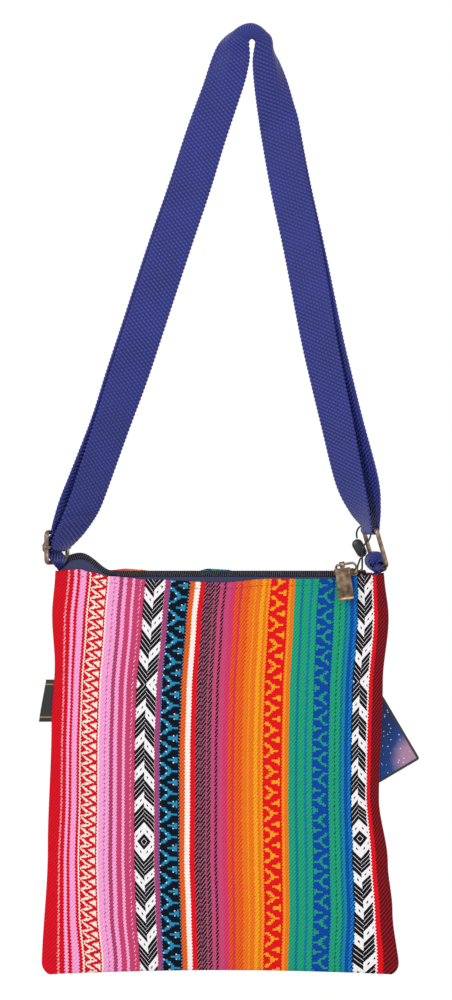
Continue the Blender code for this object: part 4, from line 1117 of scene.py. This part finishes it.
# %% [markdown]
# ## Metal
# The fittings are cast zinc with an antique brass plating: brown in the hollows, rubbed paler on
# the edges. The wires of the buckle and of the ring are swept here with more sides than the solid
# has. The cast parts keep the solid's shape; a merged copy lets their round faces shade smoothly.

# %% Antique brass plating
def brass_material(name, low, middle, high, rim=None):
    made, tree, shader = finish_material(name, 0.36, metallic=1.0)
    patina = noise(tree, 190.0, 4.0, Roughness=0.6)
    colour = ramped(patina, [(0.32, low), (0.5, middle), (0.7, high)])
    if rim:
        direction, edge, code = rim
        past = reach_along(tree, direction).mapped(edge - 0.3 * MM, edge + 0.1 * MM)
        colour = mixed(past, colour, code)
    connect(tree, patina.mapped(0.3, 0.7, 0.5, 0.28), shader.inputs["Roughness"])
    dress(tree, shader, colour, noise(tree, 1500.0, 2.0), 0.12, 0.04 * MM)
    return made


BRASS = brass_material("antique_brass_plating", "#4A3C30", "#7D6958", "#B09984")
CORNER_STEPS = 8


def rounded_rectangle(half_width, half_height, radius):
    points = []
    for corner, (sx, sy) in enumerate(((1, 1), (-1, 1), (-1, -1), (1, -1))):
        for k in range(CORNER_STEPS + 1):
            angle = math.radians(90 * corner + 90 * k / CORNER_STEPS)
            points.append((sx * (half_width - radius) + radius * math.cos(angle),
                           sy * (half_height - radius) + radius * math.sin(angle)))
    return points


def ribbon_frame(turn, outward):
    """Directions across a ribbon and out of its front, when it is turned about its length."""
    across = outward * math.cos(turn) + BACKWARD * math.sin(turn)
    normal = outward * math.sin(turn) - BACKWARD * math.cos(turn)
    return across, normal


def slide_frame_axes():
    across, normal = ribbon_frame(SLIDE_TURN, LEFTWARD)
    return across, normal, UPWARD


def ring_axes():
    across, normal = ribbon_frame(RING_TURN, RIGHTWARD)
    up = (UPWARD * math.cos(RING_TILT) + normal * math.sin(RING_TILT)).normalized()
    return across, normal, up


def wire_loop(name, centre, axes, half_width, half_height, corner, radius, node):
    across, _, up = axes
    path = [centre + across * x + up * y for x, y in rounded_rectangle(half_width, half_height, corner)]
    made = tube(name, path, radius, BRASS, sides=20, closed=True)
    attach(made, "bag")
    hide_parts(node)
    return made


wire_loop("buckle_wire", SLIDE_CENTRE, slide_frame_axes(), SLIDE_HALF_WIDTH, SLIDE_HALF_HEIGHT,
          SLIDE_CORNER, SLIDE_WIRE, "slide_frame")
wire_loop("ring_wire", RING_CENTRE, ring_axes(), RING_HALF_WIDTH, RING_HALF_HEIGHT,
          RING_CORNER, RING_WIRE, "strap_ring")


# %% Cast parts
CROWN_RISE = 8.3 * MM
CROWN_SLOPE = math.radians(12.0)
PULL_X = SLIDER_X - 2.7 * MM
PULL_LEAN = math.radians(19.0)
PULL_RIM = 22.6 * MM


def cast_copy(node, name, body, material, angle=35.0, filled=False):
    """A merged, smoothly shaded copy of a solid; filled closes its waists."""
    shape = bmesh.new()
    shape.from_mesh(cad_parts[node].data)
    bmesh.ops.remove_doubles(shape, verts=shape.verts, dist=1e-6)
    if filled:
        shell = bmesh.ops.convex_hull(shape, input=shape.verts, use_existing_faces=False)
        kept = {item for item in shell["geom"] if isinstance(item, bmesh.types.BMFace)}
        bmesh.ops.delete(shape, geom=[face for face in shape.faces if face not in kept], context="FACES")
        bmesh.ops.delete(shape, geom=[v for v in shape.verts if not v.link_faces], context="VERTS")
    mesh = bpy.data.meshes.new(name)
    shape.to_mesh(mesh)
    shape.free()
    mesh.polygons.foreach_set("use_smooth", [True] * len(mesh.polygons))
    mesh.set_sharp_from_angle(angle=math.radians(angle))
    mesh.materials.clear()
    made = new_object(name, mesh, material)
    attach(made, body)
    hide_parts(node)
    return made


def pull_direction():
    """The way down along the pull, and where its crown bar is."""
    axis = (RIGHTWARD * math.cos(CROWN_SLOPE) + ROLL_OUT * math.sin(CROWN_SLOPE)).normalized()
    hang = Vector((0, -math.sin(PULL_LEAN), -math.cos(PULL_LEAN)))
    return (hang - axis * hang.dot(axis)).normalized(), chain_point(PULL_X, 0.0, CROWN_RISE)


down_pull, pivot = pull_direction()
PULL_BRASS = brass_material("antique_brass_pull", "#46392D", "#786552", "#AA927C",
                            rim=(down_pull, pivot.dot(down_pull) + PULL_RIM, "#CF9A76"))
cast_copy("slider_body", "slider_cast", "slider", BRASS)
cast_copy("zip_pull", "pull_cast", "pull", PULL_BRASS)
cast_copy("slide_bar", "bar_cast", "bag", BRASS)
# The bottom stop, just below the buckle, is drawn near black; the two top stops are brass.
DARK_METAL = brass_material("near_black_bottom_stop", "#1C191A", "#2E2A2B", "#484143")
for number, node in enumerate(("zip_bottom_stop", "zip_top_stop_front", "zip_top_stop_back")):
    cast_copy(node, "zip_stop_" + str(number + 1), "bag", BRASS if number else DARK_METAL)
print("metal parts made")


# %% [markdown]
# ## Webbing
# The strap is one length of 25 mm webbing. It leaves the left corner, goes through the buckle,
# over the hanging point and down to the ring, back up over the hanging point and down again to
# the buckle's bar, where its end is sewn round. Over the hook its outer part folds to the back.
# It is swept through control sections, each a centre, two directions, a fold and a width.

# %% The strap's route
TAB_X = BAG_RIGHT - 4.0 * MM
TAB_WIDTH = 19.0 * MM
TAB_BASE_WIDTH = 5.6 * MM
STRAP_BASE_X = BAG_LEFT + 5.0 * MM
STRAP_BASE_WIDTH = 6.0 * MM
SEWN_DEPTH = 6.0 * MM
BASE_TURN = math.radians(-30.0)
GATHERED_WIDTH = WEBBING_WIDTH - 1.4 * MM
LEFT_OVER = ((0.2271, 0.2052, 0), (0.3092, 0.3055, 0), (0.4179, 0.4269, 0), (0.5628, 0.5926, -4),
             (0.6344, 0.6749, -15), (0.7133, 0.7605, -26), (0.8130, 0.8704, -33), (0.8600, 0.9190, -37))
LEFT_UNDER = ((0.2351, 0.2052, 0), (0.3229, 0.3055, 0), (0.4356, 0.4269, 0), (0.5805, 0.5926, -4),
              (0.6554, 0.6749, -15), (0.7351, 0.7605, -28), (0.8560, 0.8704, -36), (0.9243, 0.9190, -50))
RIGHT_OVER = ((0.2380, 0.2050, -10), (0.3111, 0.3052, -12), (0.4182, 0.4266, -15), (0.5428, 0.5921, -26),
              (0.6134, 0.6743, -32), (0.6927, 0.7598, -37), (0.7922, 0.8697, -46), (0.8715, 0.9256, -62))
RIGHT_UNDER = ((0.2468, 0.2050, -9), (0.3274, 0.3052, -11), (0.4408, 0.4266, -14), (0.5919, 0.5921, -25),
               (0.6763, 0.6743, -29), (0.7708, 0.7598, -34), (0.9068, 0.8697, -43), (0.9622, 0.9256, -60))
LEFT_SHOULDER = ((-17.4, -1.4, -35.5, 6, 12.0), (-13.9, -2.6, -22.0, 24, 12.0),
                 (-12.9, -3.0, -14.5, 42, 11.0))
RIGHT_SHOULDER = ((13.5, -3.2, -14.5, 84, 7.4), (13.3, -3.0, -22.0, 70, 9.4), (14.5, -2.0, -35.5, 48, 11.4),
                  (16.5, -1.3, -51.0, 25, 12.0))
CREST_FAN = ((-78, 70, 7.4), (-52, 88, 5.8), (-26, 100, 4.9), (0, 108, 4.5), (26, 110, 3.8),
             (52, 106, 3.6), (78, 96, 5.0))
FAN_X = 0.7 * MM
FAN_RADIUS = 2.0 * MM
FOLD_RADIUS = 5.5 * MM
CREST_STEP = WEBBING + 1.0 * MM
FLAT_FOLD_START = 12.0 * MM
LOOSE_STEP = WEBBING + 2 * GAP
THROAT_OUT = 2.7 * MM
THROAT_DROP = 1.9 * MM


def station(centre, across, normal, fold=0.0, start=FLAT_FOLD_START, radius=FOLD_RADIUS, width=WEBBING_WIDTH):
    return (*centre, *across, *normal, fold, start, radius, width)


def folded_point(run, fold, start, radius):
    """Where a point of the width lies: along the flat inner part, and away from its normal."""
    turned = min(fold, max(0.0, (run - start) / radius))
    beyond = max(0.0, run - start - radius * fold)
    return (min(run, start) + radius * math.sin(turned) + beyond * math.cos(fold),
            radius * (1 - math.cos(turned)) + beyond * math.sin(fold))


def leg(table, towards):
    """Control sections of one strap leg, from the top down."""
    fitting = SLIDE_CENTRE if towards < 0 else RING_CENTRE
    points = [Vector((x * fitting.x, 0.0, z * fitting.z)) for x, z, _ in table]
    result = []
    for i, (_, _, turn) in enumerate(table):
        run = points[min(i + 1, len(points) - 1)] - points[max(i - 1, 0)]
        outward = Vector((towards * abs(run.z), 0.0, abs(run.x))).normalized()
        across, normal = ribbon_frame(math.radians(turn), outward)
        result.append((points[i], across, normal))
    return result


def shoulder(table, inset):
    result = []
    for x, y, z, fold, start in table:
        across = Vector((math.copysign(0.97, x), 0, 0.24))
        centre = Vector((x, y, z)) * MM + Vector((0, inset, 0))
        result.append(station(centre, across, FORWARD, math.radians(fold), start * MM,
                              FOLD_RADIUS - inset))
    return result


def crest(inset):
    """Control sections over the hanging point, from the left leg to the right one."""
    radius = FOLD_RADIUS - inset
    inner_ridge = FAN_RADIUS + CREST_FAN[3][2] * MM + FOLD_RADIUS - CREST_STEP
    centre_of_fan = Vector((FAN_X, -FOLD_RADIUS + inset, WEBBING / 2 - inner_ridge))
    result = []
    for lean, fold, start in CREST_FAN:
        spoke = Vector((math.sin(math.radians(lean)), 0, math.cos(math.radians(lean))))
        centre = centre_of_fan + spoke * (FAN_RADIUS + WEBBING_WIDTH / 2)
        result.append(station(centre, spoke, FORWARD, math.radians(fold), start * MM, radius))
    return result


# %% [markdown]
# In the buckle the webbing makes an S: behind the lower bar, over the centre bar, behind the upper
# bar. The sewn end takes the inside place on the centre bar. Above the buckle the outer layer
# turns from the buckle's narrow side view to its full face over about 10 mm, as webbing does when
# a bar holds it edge-on.

# %% Through the buckle and the ring
def slide_section(n, h, width=WEBBING_WIDTH):
    across, normal, up = slide_frame_axes()
    return station(SLIDE_CENTRE + normal * n + up * h, across, normal, width=width)


def round_bars(outer, inner):
    slant = math.asin((outer + inner) / SLIDE_HALF_HEIGHT)
    cosine = math.cos(slant)
    sine = math.sin(slant)
    return [(outer, SLIDE_HALF_HEIGHT), (outer * cosine, SLIDE_HALF_HEIGHT - outer * sine),
            (-inner * cosine, inner * sine)]


def slide_route():
    behind = SLIDE_WIRE + GAP + WEBBING / 2
    before = SLIDE_BAR_RADIUS + GAP + WEBBING / 2 + LOOSE_STEP
    upper = round_bars(behind, before)
    path = [(n, -h) for n, h in upper] + [(-before, 0.0)] + upper[::-1]
    path.append((behind, SLIDE_HALF_HEIGHT + 3 * MM))
    return [slide_section(n, h) for n, h in path]


def opened_section(x, z, turn, y=-0.5, width=24.0):
    across, normal = ribbon_frame(math.radians(turn), LEFTWARD)
    return station(Vector((x, y, z)) * MM, across, normal, width=width * MM)


OPENED = (-114.7, -321.0, -40.0)
NARROWING = (-118.1, -326.0, -46.0)
BEFORE_BAR = (-120.6, -330.2, -58.0)
SEWN_END = (-109.2, -309.0, -38.0)


def sewn_loop_route():
    around = SLIDE_BAR_RADIUS + GAP + WEBBING / 2
    behind = SLIDE_WIRE + GAP + WEBBING / 2 + LOOSE_STEP
    route = [opened_section(*OPENED), opened_section(*NARROWING, y=-1.0),
             opened_section(*BEFORE_BAR, y=-1.4, width=25.0)]
    path = [(1.2 * around, -0.8 * MM)]
    for degrees in (-50, -90, -135, -180):
        angle = math.radians(degrees)
        path.append((around * math.cos(angle), around * math.sin(angle)))
    path += reversed(round_bars(behind, around))
    around_bar = [slide_section(n, h, 23.0 * MM) for n, h in path]
    return route + around_bar + [opened_section(*SEWN_END, y=1.2, width=23.0)]


def ring_route():
    across, normal, up = ring_axes()
    bar = RING_CENTRE + up * RING_HALF_HEIGHT
    around = RING_WIRE + GAP + WEBBING / 2
    result = []
    for degrees in (180, 225, 270, 315, 360):
        angle = math.radians(degrees)
        centre = bar + normal * (around * math.cos(angle)) + Vector((0, 0, around * math.sin(angle)))
        result.append(station(centre, across, normal, width=GATHERED_WIDTH))
    beside = [station(bar + normal * side * around + Vector((0, 0, 3 * MM)), across, normal,
                      width=GATHERED_WIDTH) for side in (-1.1, 1.1)]
    return [beside[0]] + result + [beside[1]]


def strap_sections():
    apart = Vector((0, LOOSE_STEP / 2, 0))
    inner = FOLD_RADIUS - CREST_STEP
    left_under = [station(c + apart, a, n, radius=inner) for c, a, n in leg(LEFT_UNDER, -1)]
    right_under = [station(c + apart, a, n, radius=inner) for c, a, n in leg(RIGHT_UNDER, 1)]
    left_over = [station(c - apart, a, n) for c, a, n in leg(LEFT_OVER, -1)]
    right_over = [station(c - apart, a, n) for c, a, n in leg(RIGHT_OVER, 1)]
    base_across, base_normal = ribbon_frame(BASE_TURN, LEFTWARD)
    base = [station(Vector((STRAP_BASE_X, 0.0, front_hem(STRAP_BASE_X) + rise)), base_across, base_normal,
                    width=STRAP_BASE_WIDTH) for rise in (-SEWN_DEPTH, -0.3 * MM)]
    throat_across, throat_normal = ribbon_frame(0.88 * SLIDE_TURN, LEFTWARD)
    throat = SLIDE_CENTRE + throat_normal * THROAT_OUT - Vector((0, 0, SLIDE_HALF_HEIGHT + THROAT_DROP))
    base.append(station(throat, throat_across, throat_normal, width=0.56 * WEBBING_WIDTH))
    return (base + slide_route() + left_under[::-1] + shoulder(LEFT_SHOULDER, CREST_STEP) + crest(CREST_STEP)
            + shoulder(RIGHT_SHOULDER, CREST_STEP) + right_under + ring_route() + right_over[::-1]
            + shoulder(RIGHT_SHOULDER, 0.0)[::-1] + crest(0.0)[::-1] + shoulder(LEFT_SHOULDER, 0.0)[::-1]
            + left_over + sewn_loop_route())


# %% [markdown]
# The sections are sampled closely, then evenly by length, so the weave keeps its pitch. The edges
# are scalloped where each weft turns round, and they are thinner than the middle.

# %% Webbing: woven polypropylene, columns of slanted ribs with a soft shine
ROW_STEP = 0.6 * MM
SCALLOP_PITCH = 2.6 * MM
SCALLOP = 0.55 * MM
WEB_SHARES = (0.0, 0.02, 0.06, 0.14, 0.23, 0.32, 0.41, 0.5, 0.59, 0.68, 0.77, 0.86, 0.94, 0.98, 1.0)
WEB_THICKNESS = (0.45, 0.8, 1.0, 1.0, 1.0, 1.0, 1.0, 1.0, 1.0, 1.0, 1.0, 1.0, 1.0, 0.8, 0.45)
RIB_WIDTH = 2.1
RIB_LENGTH = 2.6
RIB_SLANT = 0.3


def webbing_material():
    made, tree, shader = finish_material("royal_blue_webbing", 0.5, Specular_IOR_Level=0.4)
    across, down = flat_coordinates(tree)
    column = across * (1 / (RIB_WIDTH * MM))
    odd = column.math("FLOOR").math("MODULO", 2.0)
    within = column.fract()
    onward = odd.scaled(0.5, down.scaled(1 / (RIB_LENGTH * MM), within * RIB_SLANT))
    along_rib = onward.sine(math.tau).mapped(-0.75, 0.8)
    across_rib = within.sine(math.pi).math("POWER", 0.6)
    height = along_rib * across_rib
    # The colour follows the ribs' height: painted highlights on the rib tops and painted shade between the
    # ribs, mixed with random tone from the noise.
    level = noise(tree, 45.0, 3.0).scaled(0.35, height)
    shade = ramped(level, [(0.12, "#0B1148"), (0.45, "#18227A"), (0.85, "#303B98")])
    dress(tree, shader, shade, height, 0.9, 0.5 * MM)
    return made


WEB = webbing_material()


def webbing(name, sections, step):
    """Webbing swept through its sections, with even rows along its length."""
    dense = np.array(smooth_curve(sections, 16))
    middle = dense[:, 0:3]
    runs = np.concatenate(([0.0], np.cumsum(np.linalg.norm(np.diff(middle, axis=0), axis=1))))
    places = np.linspace(0.0, runs[-1], int(runs[-1] / step))
    rows = np.stack([np.interp(places, runs, dense[:, k]) for k in range(dense.shape[1])], axis=1)
    points = np.zeros((len(rows), len(WEB_SHARES), 3))
    flat = np.zeros((len(rows), len(WEB_SHARES), 2))
    for r, row in enumerate(rows):
        centre = Vector(row[0:3])
        across = Vector(row[3:6]).normalized()
        normal = Vector(row[6:9])
        normal = (normal - across * normal.dot(across)).normalized()
        fold, start, radius, width = row[9:13]
        wave = SCALLOP * (abs(math.sin(math.pi * places[r] / SCALLOP_PITCH)) - 0.6)
        for c, share in enumerate(WEB_SHARES):
            run = share * width + (wave * (2 * share - 1) if share in (0.0, 0.02, 0.98, 1.0) else 0.0)
            side, drop = folded_point(run, max(0.0, fold), start, radius)
            points[r, c] = centre + across * (side - width / 2) - normal * drop
            flat[r, c] = (share * WEBBING_WIDTH, places[r])
    half = np.broadcast_to(np.array(WEB_THICKNESS) * WEBBING / 2, points.shape[:2])
    made = cloth_shell(name, points, flat, half, WEB)
    print(name, round(runs[-1] / MM), "mm long,", len(made.data.polygons), "faces")
    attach(made, "bag")
    return made, runs[-1]


strap, strap_length = webbing("hanging_strap", strap_sections(), ROW_STEP)
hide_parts("strap")


# %% [markdown]
# The ring's tab is a short loop of the same webbing, puffed out and turned in at its near edge.
# Both of its plies are gathered where they enter the corner of the bag.

# %% The ring's tab
TAB_FOLD_START = 8.4 * MM
TAB_FOLD_RADIUS = 3.0 * MM
TAB_LOOP = (
    (-2.6, -2.2, 0.9, 10), (-3.3, 1.2, 1.0, 25), (-3.1, 4.4, 1.0, 45), (-1.5, 7.2, 1.0, 65),
    (1.8, 8.3, 1.0, 80), (5.0, 7.2, 1.0, 92), (7.0, 4.4, 1.0, 96), (6.8, 1.0, 1.0, 92), (4.2, -2.2, 0.95, 75),
)
TAB_MIDDLE = (1.8, 3.0)


def tab_sections():
    """A puffed loop; its near edge turns in towards the middle, so the loop looks closed."""
    across, normal, up = ring_axes()
    bar = RING_CENTRE - up * RING_HALF_HEIGHT
    ply = WEBBING / 2 + GAP / 2
    ends = ((ply, -SEWN_DEPTH), (ply, -0.4 * MM), (1.3 * MM, 1.2 * MM))

    def gathered(side, apart, rise):
        centre = Vector((TAB_X, 0.0, BAG_TOP + rise)) + normal * side * apart
        return station(centre, across, normal * side, width=TAB_BASE_WIDTH)

    sections = [gathered(-1, *end) for end in ends]
    for n, h, share, fold in TAB_LOOP:
        outward = (normal * (n - TAB_MIDDLE[0]) + Vector((0, 0, h - TAB_MIDDLE[1]))).normalized()
        centre = bar + normal * n * MM + Vector((0, 0, h * MM))
        sections.append(station(centre, across, outward, math.radians(fold), TAB_FOLD_START, TAB_FOLD_RADIUS,
                                share * TAB_WIDTH))
    return sections + [gathered(1, *end) for end in reversed(ends)]


tab, tab_length = webbing("tab_loop", tab_sections(), 0.5 * MM)
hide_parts("ring_tab")


# %% [markdown]
# The outer layer is sewn to the strap's end below it with two rows of dark blue stitches across.

# %% Stitches of the sewn end
SEWN_ROWS = ((-311.6, -117.6, -102.6), (-319.0, -119.6, -107.0))
SEWN_TURN = math.radians(-38.0)
SEWN_RISE = 0.8 * MM
SEWN_POINTS = 24
SEWN_PITCH = 2.6 * MM
SEWN_HALF = (0.2 * MM, 0.3 * MM, 1.15 * MM)


def lay_across(piece, z, x_from, x_to, lift):
    """A line across the outer layer at one height, dropped onto it from outside."""
    _, outward = ribbon_frame(SEWN_TURN, LEFTWARD)
    bpy.context.view_layer.update()
    line = []
    for k in range(SEWN_POINTS):
        share = k / (SEWN_POINTS - 1)
        start = Vector(((x_from + (x_to - x_from) * share) * MM, -0.1, z * MM + SEWN_RISE * share))
        hit, place, _, _ = piece.ray_cast(start, BACKWARD)
        if hit:
            line.append(place + outward * lift)
    return line


rows = [lay_across(strap, *row, 0.02 * MM) for row in SEWN_ROWS]
sewn_rows = laid_along("sewn_end_stitches", rows, NAVY_THREAD, SEWN_PITCH, SEWN_HALF, (0.6, -0.8, 0.0))
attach(sewn_rows, "bag")


# %% [markdown]
# ## Side label, card and seal
# The label is a folded strip of black satin tape in the side seam, with two thin gold lines across
# it. The card's face is a printed evening sky under a glossy film, with a dark border; its back is
# plain board. The seal is black moulded plastic.

# %% Label: black satin tape with woven gold lines
LABEL_TOP = BAG_TOP - 67.8 * MM
LABEL_HEIGHT = 27.0 * MM
LABEL_PROUD_TOP = 5.0 * MM
LABEL_PROUD_BOTTOM = 7.8 * MM
LABEL_THICK = 0.9 * MM
LABEL_PLY = 0.35 * MM
LABEL_SEAM = 0.9 * MM
LABEL_LINE_INSET = 3.0 * MM
LABEL_LINE_REACH = 0.3 * MM
LABEL_LIFT = 0.8 * MM
LABEL_STEPS = 9
LABEL_ROWS = 22


def label_material():
    made, tree, shader = finish_material("black_satin_label", 0.5)
    weave = noise(tree, 1400.0, 1.0)
    shade = ramped(weave, [(0.3, "#0A090A"), (0.7, "#1B181A")])
    _, down = flat_coordinates(tree)
    lines = (near(down, LABEL_LINE_INSET, LABEL_LINE_REACH)
             | near(down, LABEL_HEIGHT - LABEL_LINE_INSET, LABEL_LINE_REACH))
    dress(tree, shader, mixed(lines, shade, "#B08A3C"), weave, 0.3, 0.05 * MM)
    return made


def side_label():
    """One strip, folded at its outer edge, with both ends in the seam."""
    apart = LABEL_THICK / 2 - LABEL_PLY / 2
    points = []
    flat = []
    for share in np.linspace(0.0, 1.0, LABEL_ROWS):
        z = LABEL_TOP - LABEL_HEIGHT * share
        left, _ = side_edges((BAG_TOP - z) / BAG_HEIGHT)
        proud = LABEL_PROUD_TOP + (LABEL_PROUD_BOTTOM - LABEL_PROUD_TOP) * share
        lift = LABEL_LIFT * math.sin(math.pi * share)
        out = [(LABEL_SEAM - (proud + LABEL_SEAM - apart) * k / LABEL_STEPS, -apart)
               for k in range(LABEL_STEPS + 1)]
        turn = [(apart - proud - apart * math.sin(math.radians(a)), -apart * math.cos(math.radians(a)))
                for a in (45, 90, 135)]
        ply = out + turn + [(x, -y) for x, y in reversed(out)]
        row = [(left + x, y + lift * x / proud, z) for x, y in ply]
        points.append(row)
        runs = [path_length([(*p, 0) for p in ply[:k + 1]]) for k in range(len(ply))]
        flat.append([(run, share * LABEL_HEIGHT) for run in runs])
    made = cloth_shell("label_strip", np.array(points), np.array(flat), LABEL_PLY / 2, label_material())
    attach(made, "bag")
    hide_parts("side_label")
    return made


side_label()


# %% Card: offset print on board under a glossy film
CARD_CORNER = RING_CENTRE + Vector((29.2, 0.0, -135.8)) * MM
CARD_TILT = math.radians(30.5)
CARD_WIDTH = 51.0 * MM
CARD_HEIGHT = 90.0 * MM
CARD_GLOW = 16.0 * MM
CARD_BORDER = 1.6 * MM
CARD_MIDDLE_Y = BELLY_HALF_DEPTH + CLOTH / 2 + 0.5 * MM + CORD_DIAMETER + 2 * GAP


def card_material():
    made, tree, shader = finish_material("printed_card", 0.3, Coat_Weight=0.1, Specular_IOR_Level=0.2)
    across = Vector((math.cos(CARD_TILT), 0, math.sin(CARD_TILT)))
    up = Vector((-math.sin(CARD_TILT), 0, math.cos(CARD_TILT)))
    shares = []
    squares = []
    border = None
    for direction, size in ((-across, CARD_WIDTH), (up, CARD_HEIGHT)):
        share = (reach_along(tree, direction) - CARD_CORNER.dot(direction)) * (1 / size)
        edges = (share < CARD_BORDER / size) | (share > 1 - CARD_BORDER / size)
        border = border | edges if border else edges
        shares.append(share)
        squares.append((share * (size / CARD_GLOW)).math("POWER", 2.0))
    cloud = noise(tree, 70.0, 3.0)
    sky = ramped(cloud.scaled(0.3, shares[1]),
                 [(0.15, "#0A4C98"), (0.45, "#0B3474"), (0.8, "#132455"), (0.9, "#182658")])
    glow = cloud.scaled(0.9, squares[0] + squares[1]).mapped(1.9, 0.9)
    sky = mixed(glow, sky, "#A8809C")
    inputs = {"Vector": object_place(tree), "Scale": 420.0, "Randomness": 1.0}
    stars = Value(tree, add(tree, "ShaderNodeTexVoronoi", inputs).outputs["Distance"])
    face = mixed(border, mixed(stars < 0.16, sky, "#DDE6FA"), "#3A3634")
    behind = reach_along(tree, BACKWARD) > CARD_MIDDLE_Y
    grain = noise(tree, 800.0, 2.0)
    board = ramped(grain, [(0.3, "#D9D4CA"), (0.7, "#ECE8E0")])
    dress(tree, shader, mixed(behind, face, board), grain, 0.06, 0.03 * MM)
    return made


cast_copy("swing_tag", "card", "tag", card_material(), 30.0)


# %% Seal: black moulded plastic with a faint moulding grain
SEAL_PLASTIC = grained_material("black_moulded_plastic", 0.42, 700.0, 3.0,
                                [(0.3, "#1B1A1C"), (0.7, "#2C2A2D")], 0.25, 0.08 * MM)
cast_copy("tag_seal", "cord_seal", "bag", SEAL_PLASTIC, 60.0, filled=True)
print("label, card and seal made")


# %% [markdown]
# ## Studio
# The bag was photographed against white. Here the world is white to the camera and to glossy
# surfaces, while two soft lamps and a dimmer world light the bag at a plain level. A pale floor
# lies below the picture, so a view from above still shows where the bag hangs.

# %% Floor, lamps and world
FLOOR_LEVEL = -0.70
FLOOR_RADIUS = 0.3
LAMP_TARGET = Vector((0, 0, -0.4))
SOFT_WORLD = 0.74


def make_floor():
    shape = bmesh.new()
    bmesh.ops.create_circle(shape, cap_ends=True, segments=96, radius=FLOOR_RADIUS,
                            matrix=Matrix.Translation((0, 0, FLOOR_LEVEL)))
    mesh = bpy.data.meshes.new("floor")
    shape.to_mesh(mesh)
    shape.free()
    white = grained_material("matt_white_floor", 0.8, 300.0, 2.0, [(0.3, "#ECEBE9"), (0.7, "#F3F2F0")])
    floor = new_object("floor", mesh, white)


def make_lamp(name, place, size, watts):
    lamp = bpy.data.lights.new(name, "AREA")
    lamp.shape = "DISK"
    lamp.size = size
    lamp.energy = watts
    made = bpy.data.objects.new(name, lamp)
    made.location = place
    made.rotation_euler = (LAMP_TARGET - Vector(place)).to_track_quat("-Z", "Y").to_euler()
    bpy.context.scene.collection.objects.link(made)


def make_world():
    world = bpy.data.worlds.new("studio")
    world.use_nodes = True
    tree = world.node_tree
    tree.nodes.clear()
    path = add(tree, "ShaderNodeLightPath").outputs
    seen = Value(tree, path["Is Camera Ray"]) | path["Is Glossy Ray"] | path["Is Transmission Ray"]
    soft, white = [add(tree, "ShaderNodeBackground", {"Color": linear("#FFFFFF"), "Strength": strength})
                   for strength in (SOFT_WORLD, 1.0)]
    mixture = add(tree, "ShaderNodeMixShader", [seen, soft, white])
    add(tree, "ShaderNodeOutputWorld", [mixture])
    bpy.context.scene.world = world


make_floor()
make_lamp("key", (-1.5, -2.0, 0.7), 0.9, 26.0)
make_lamp("fill", (1.8, -1.8, -0.2), 1.2, 9.0)
make_world()
bpy.context.scene.view_settings.view_transform = "Standard"
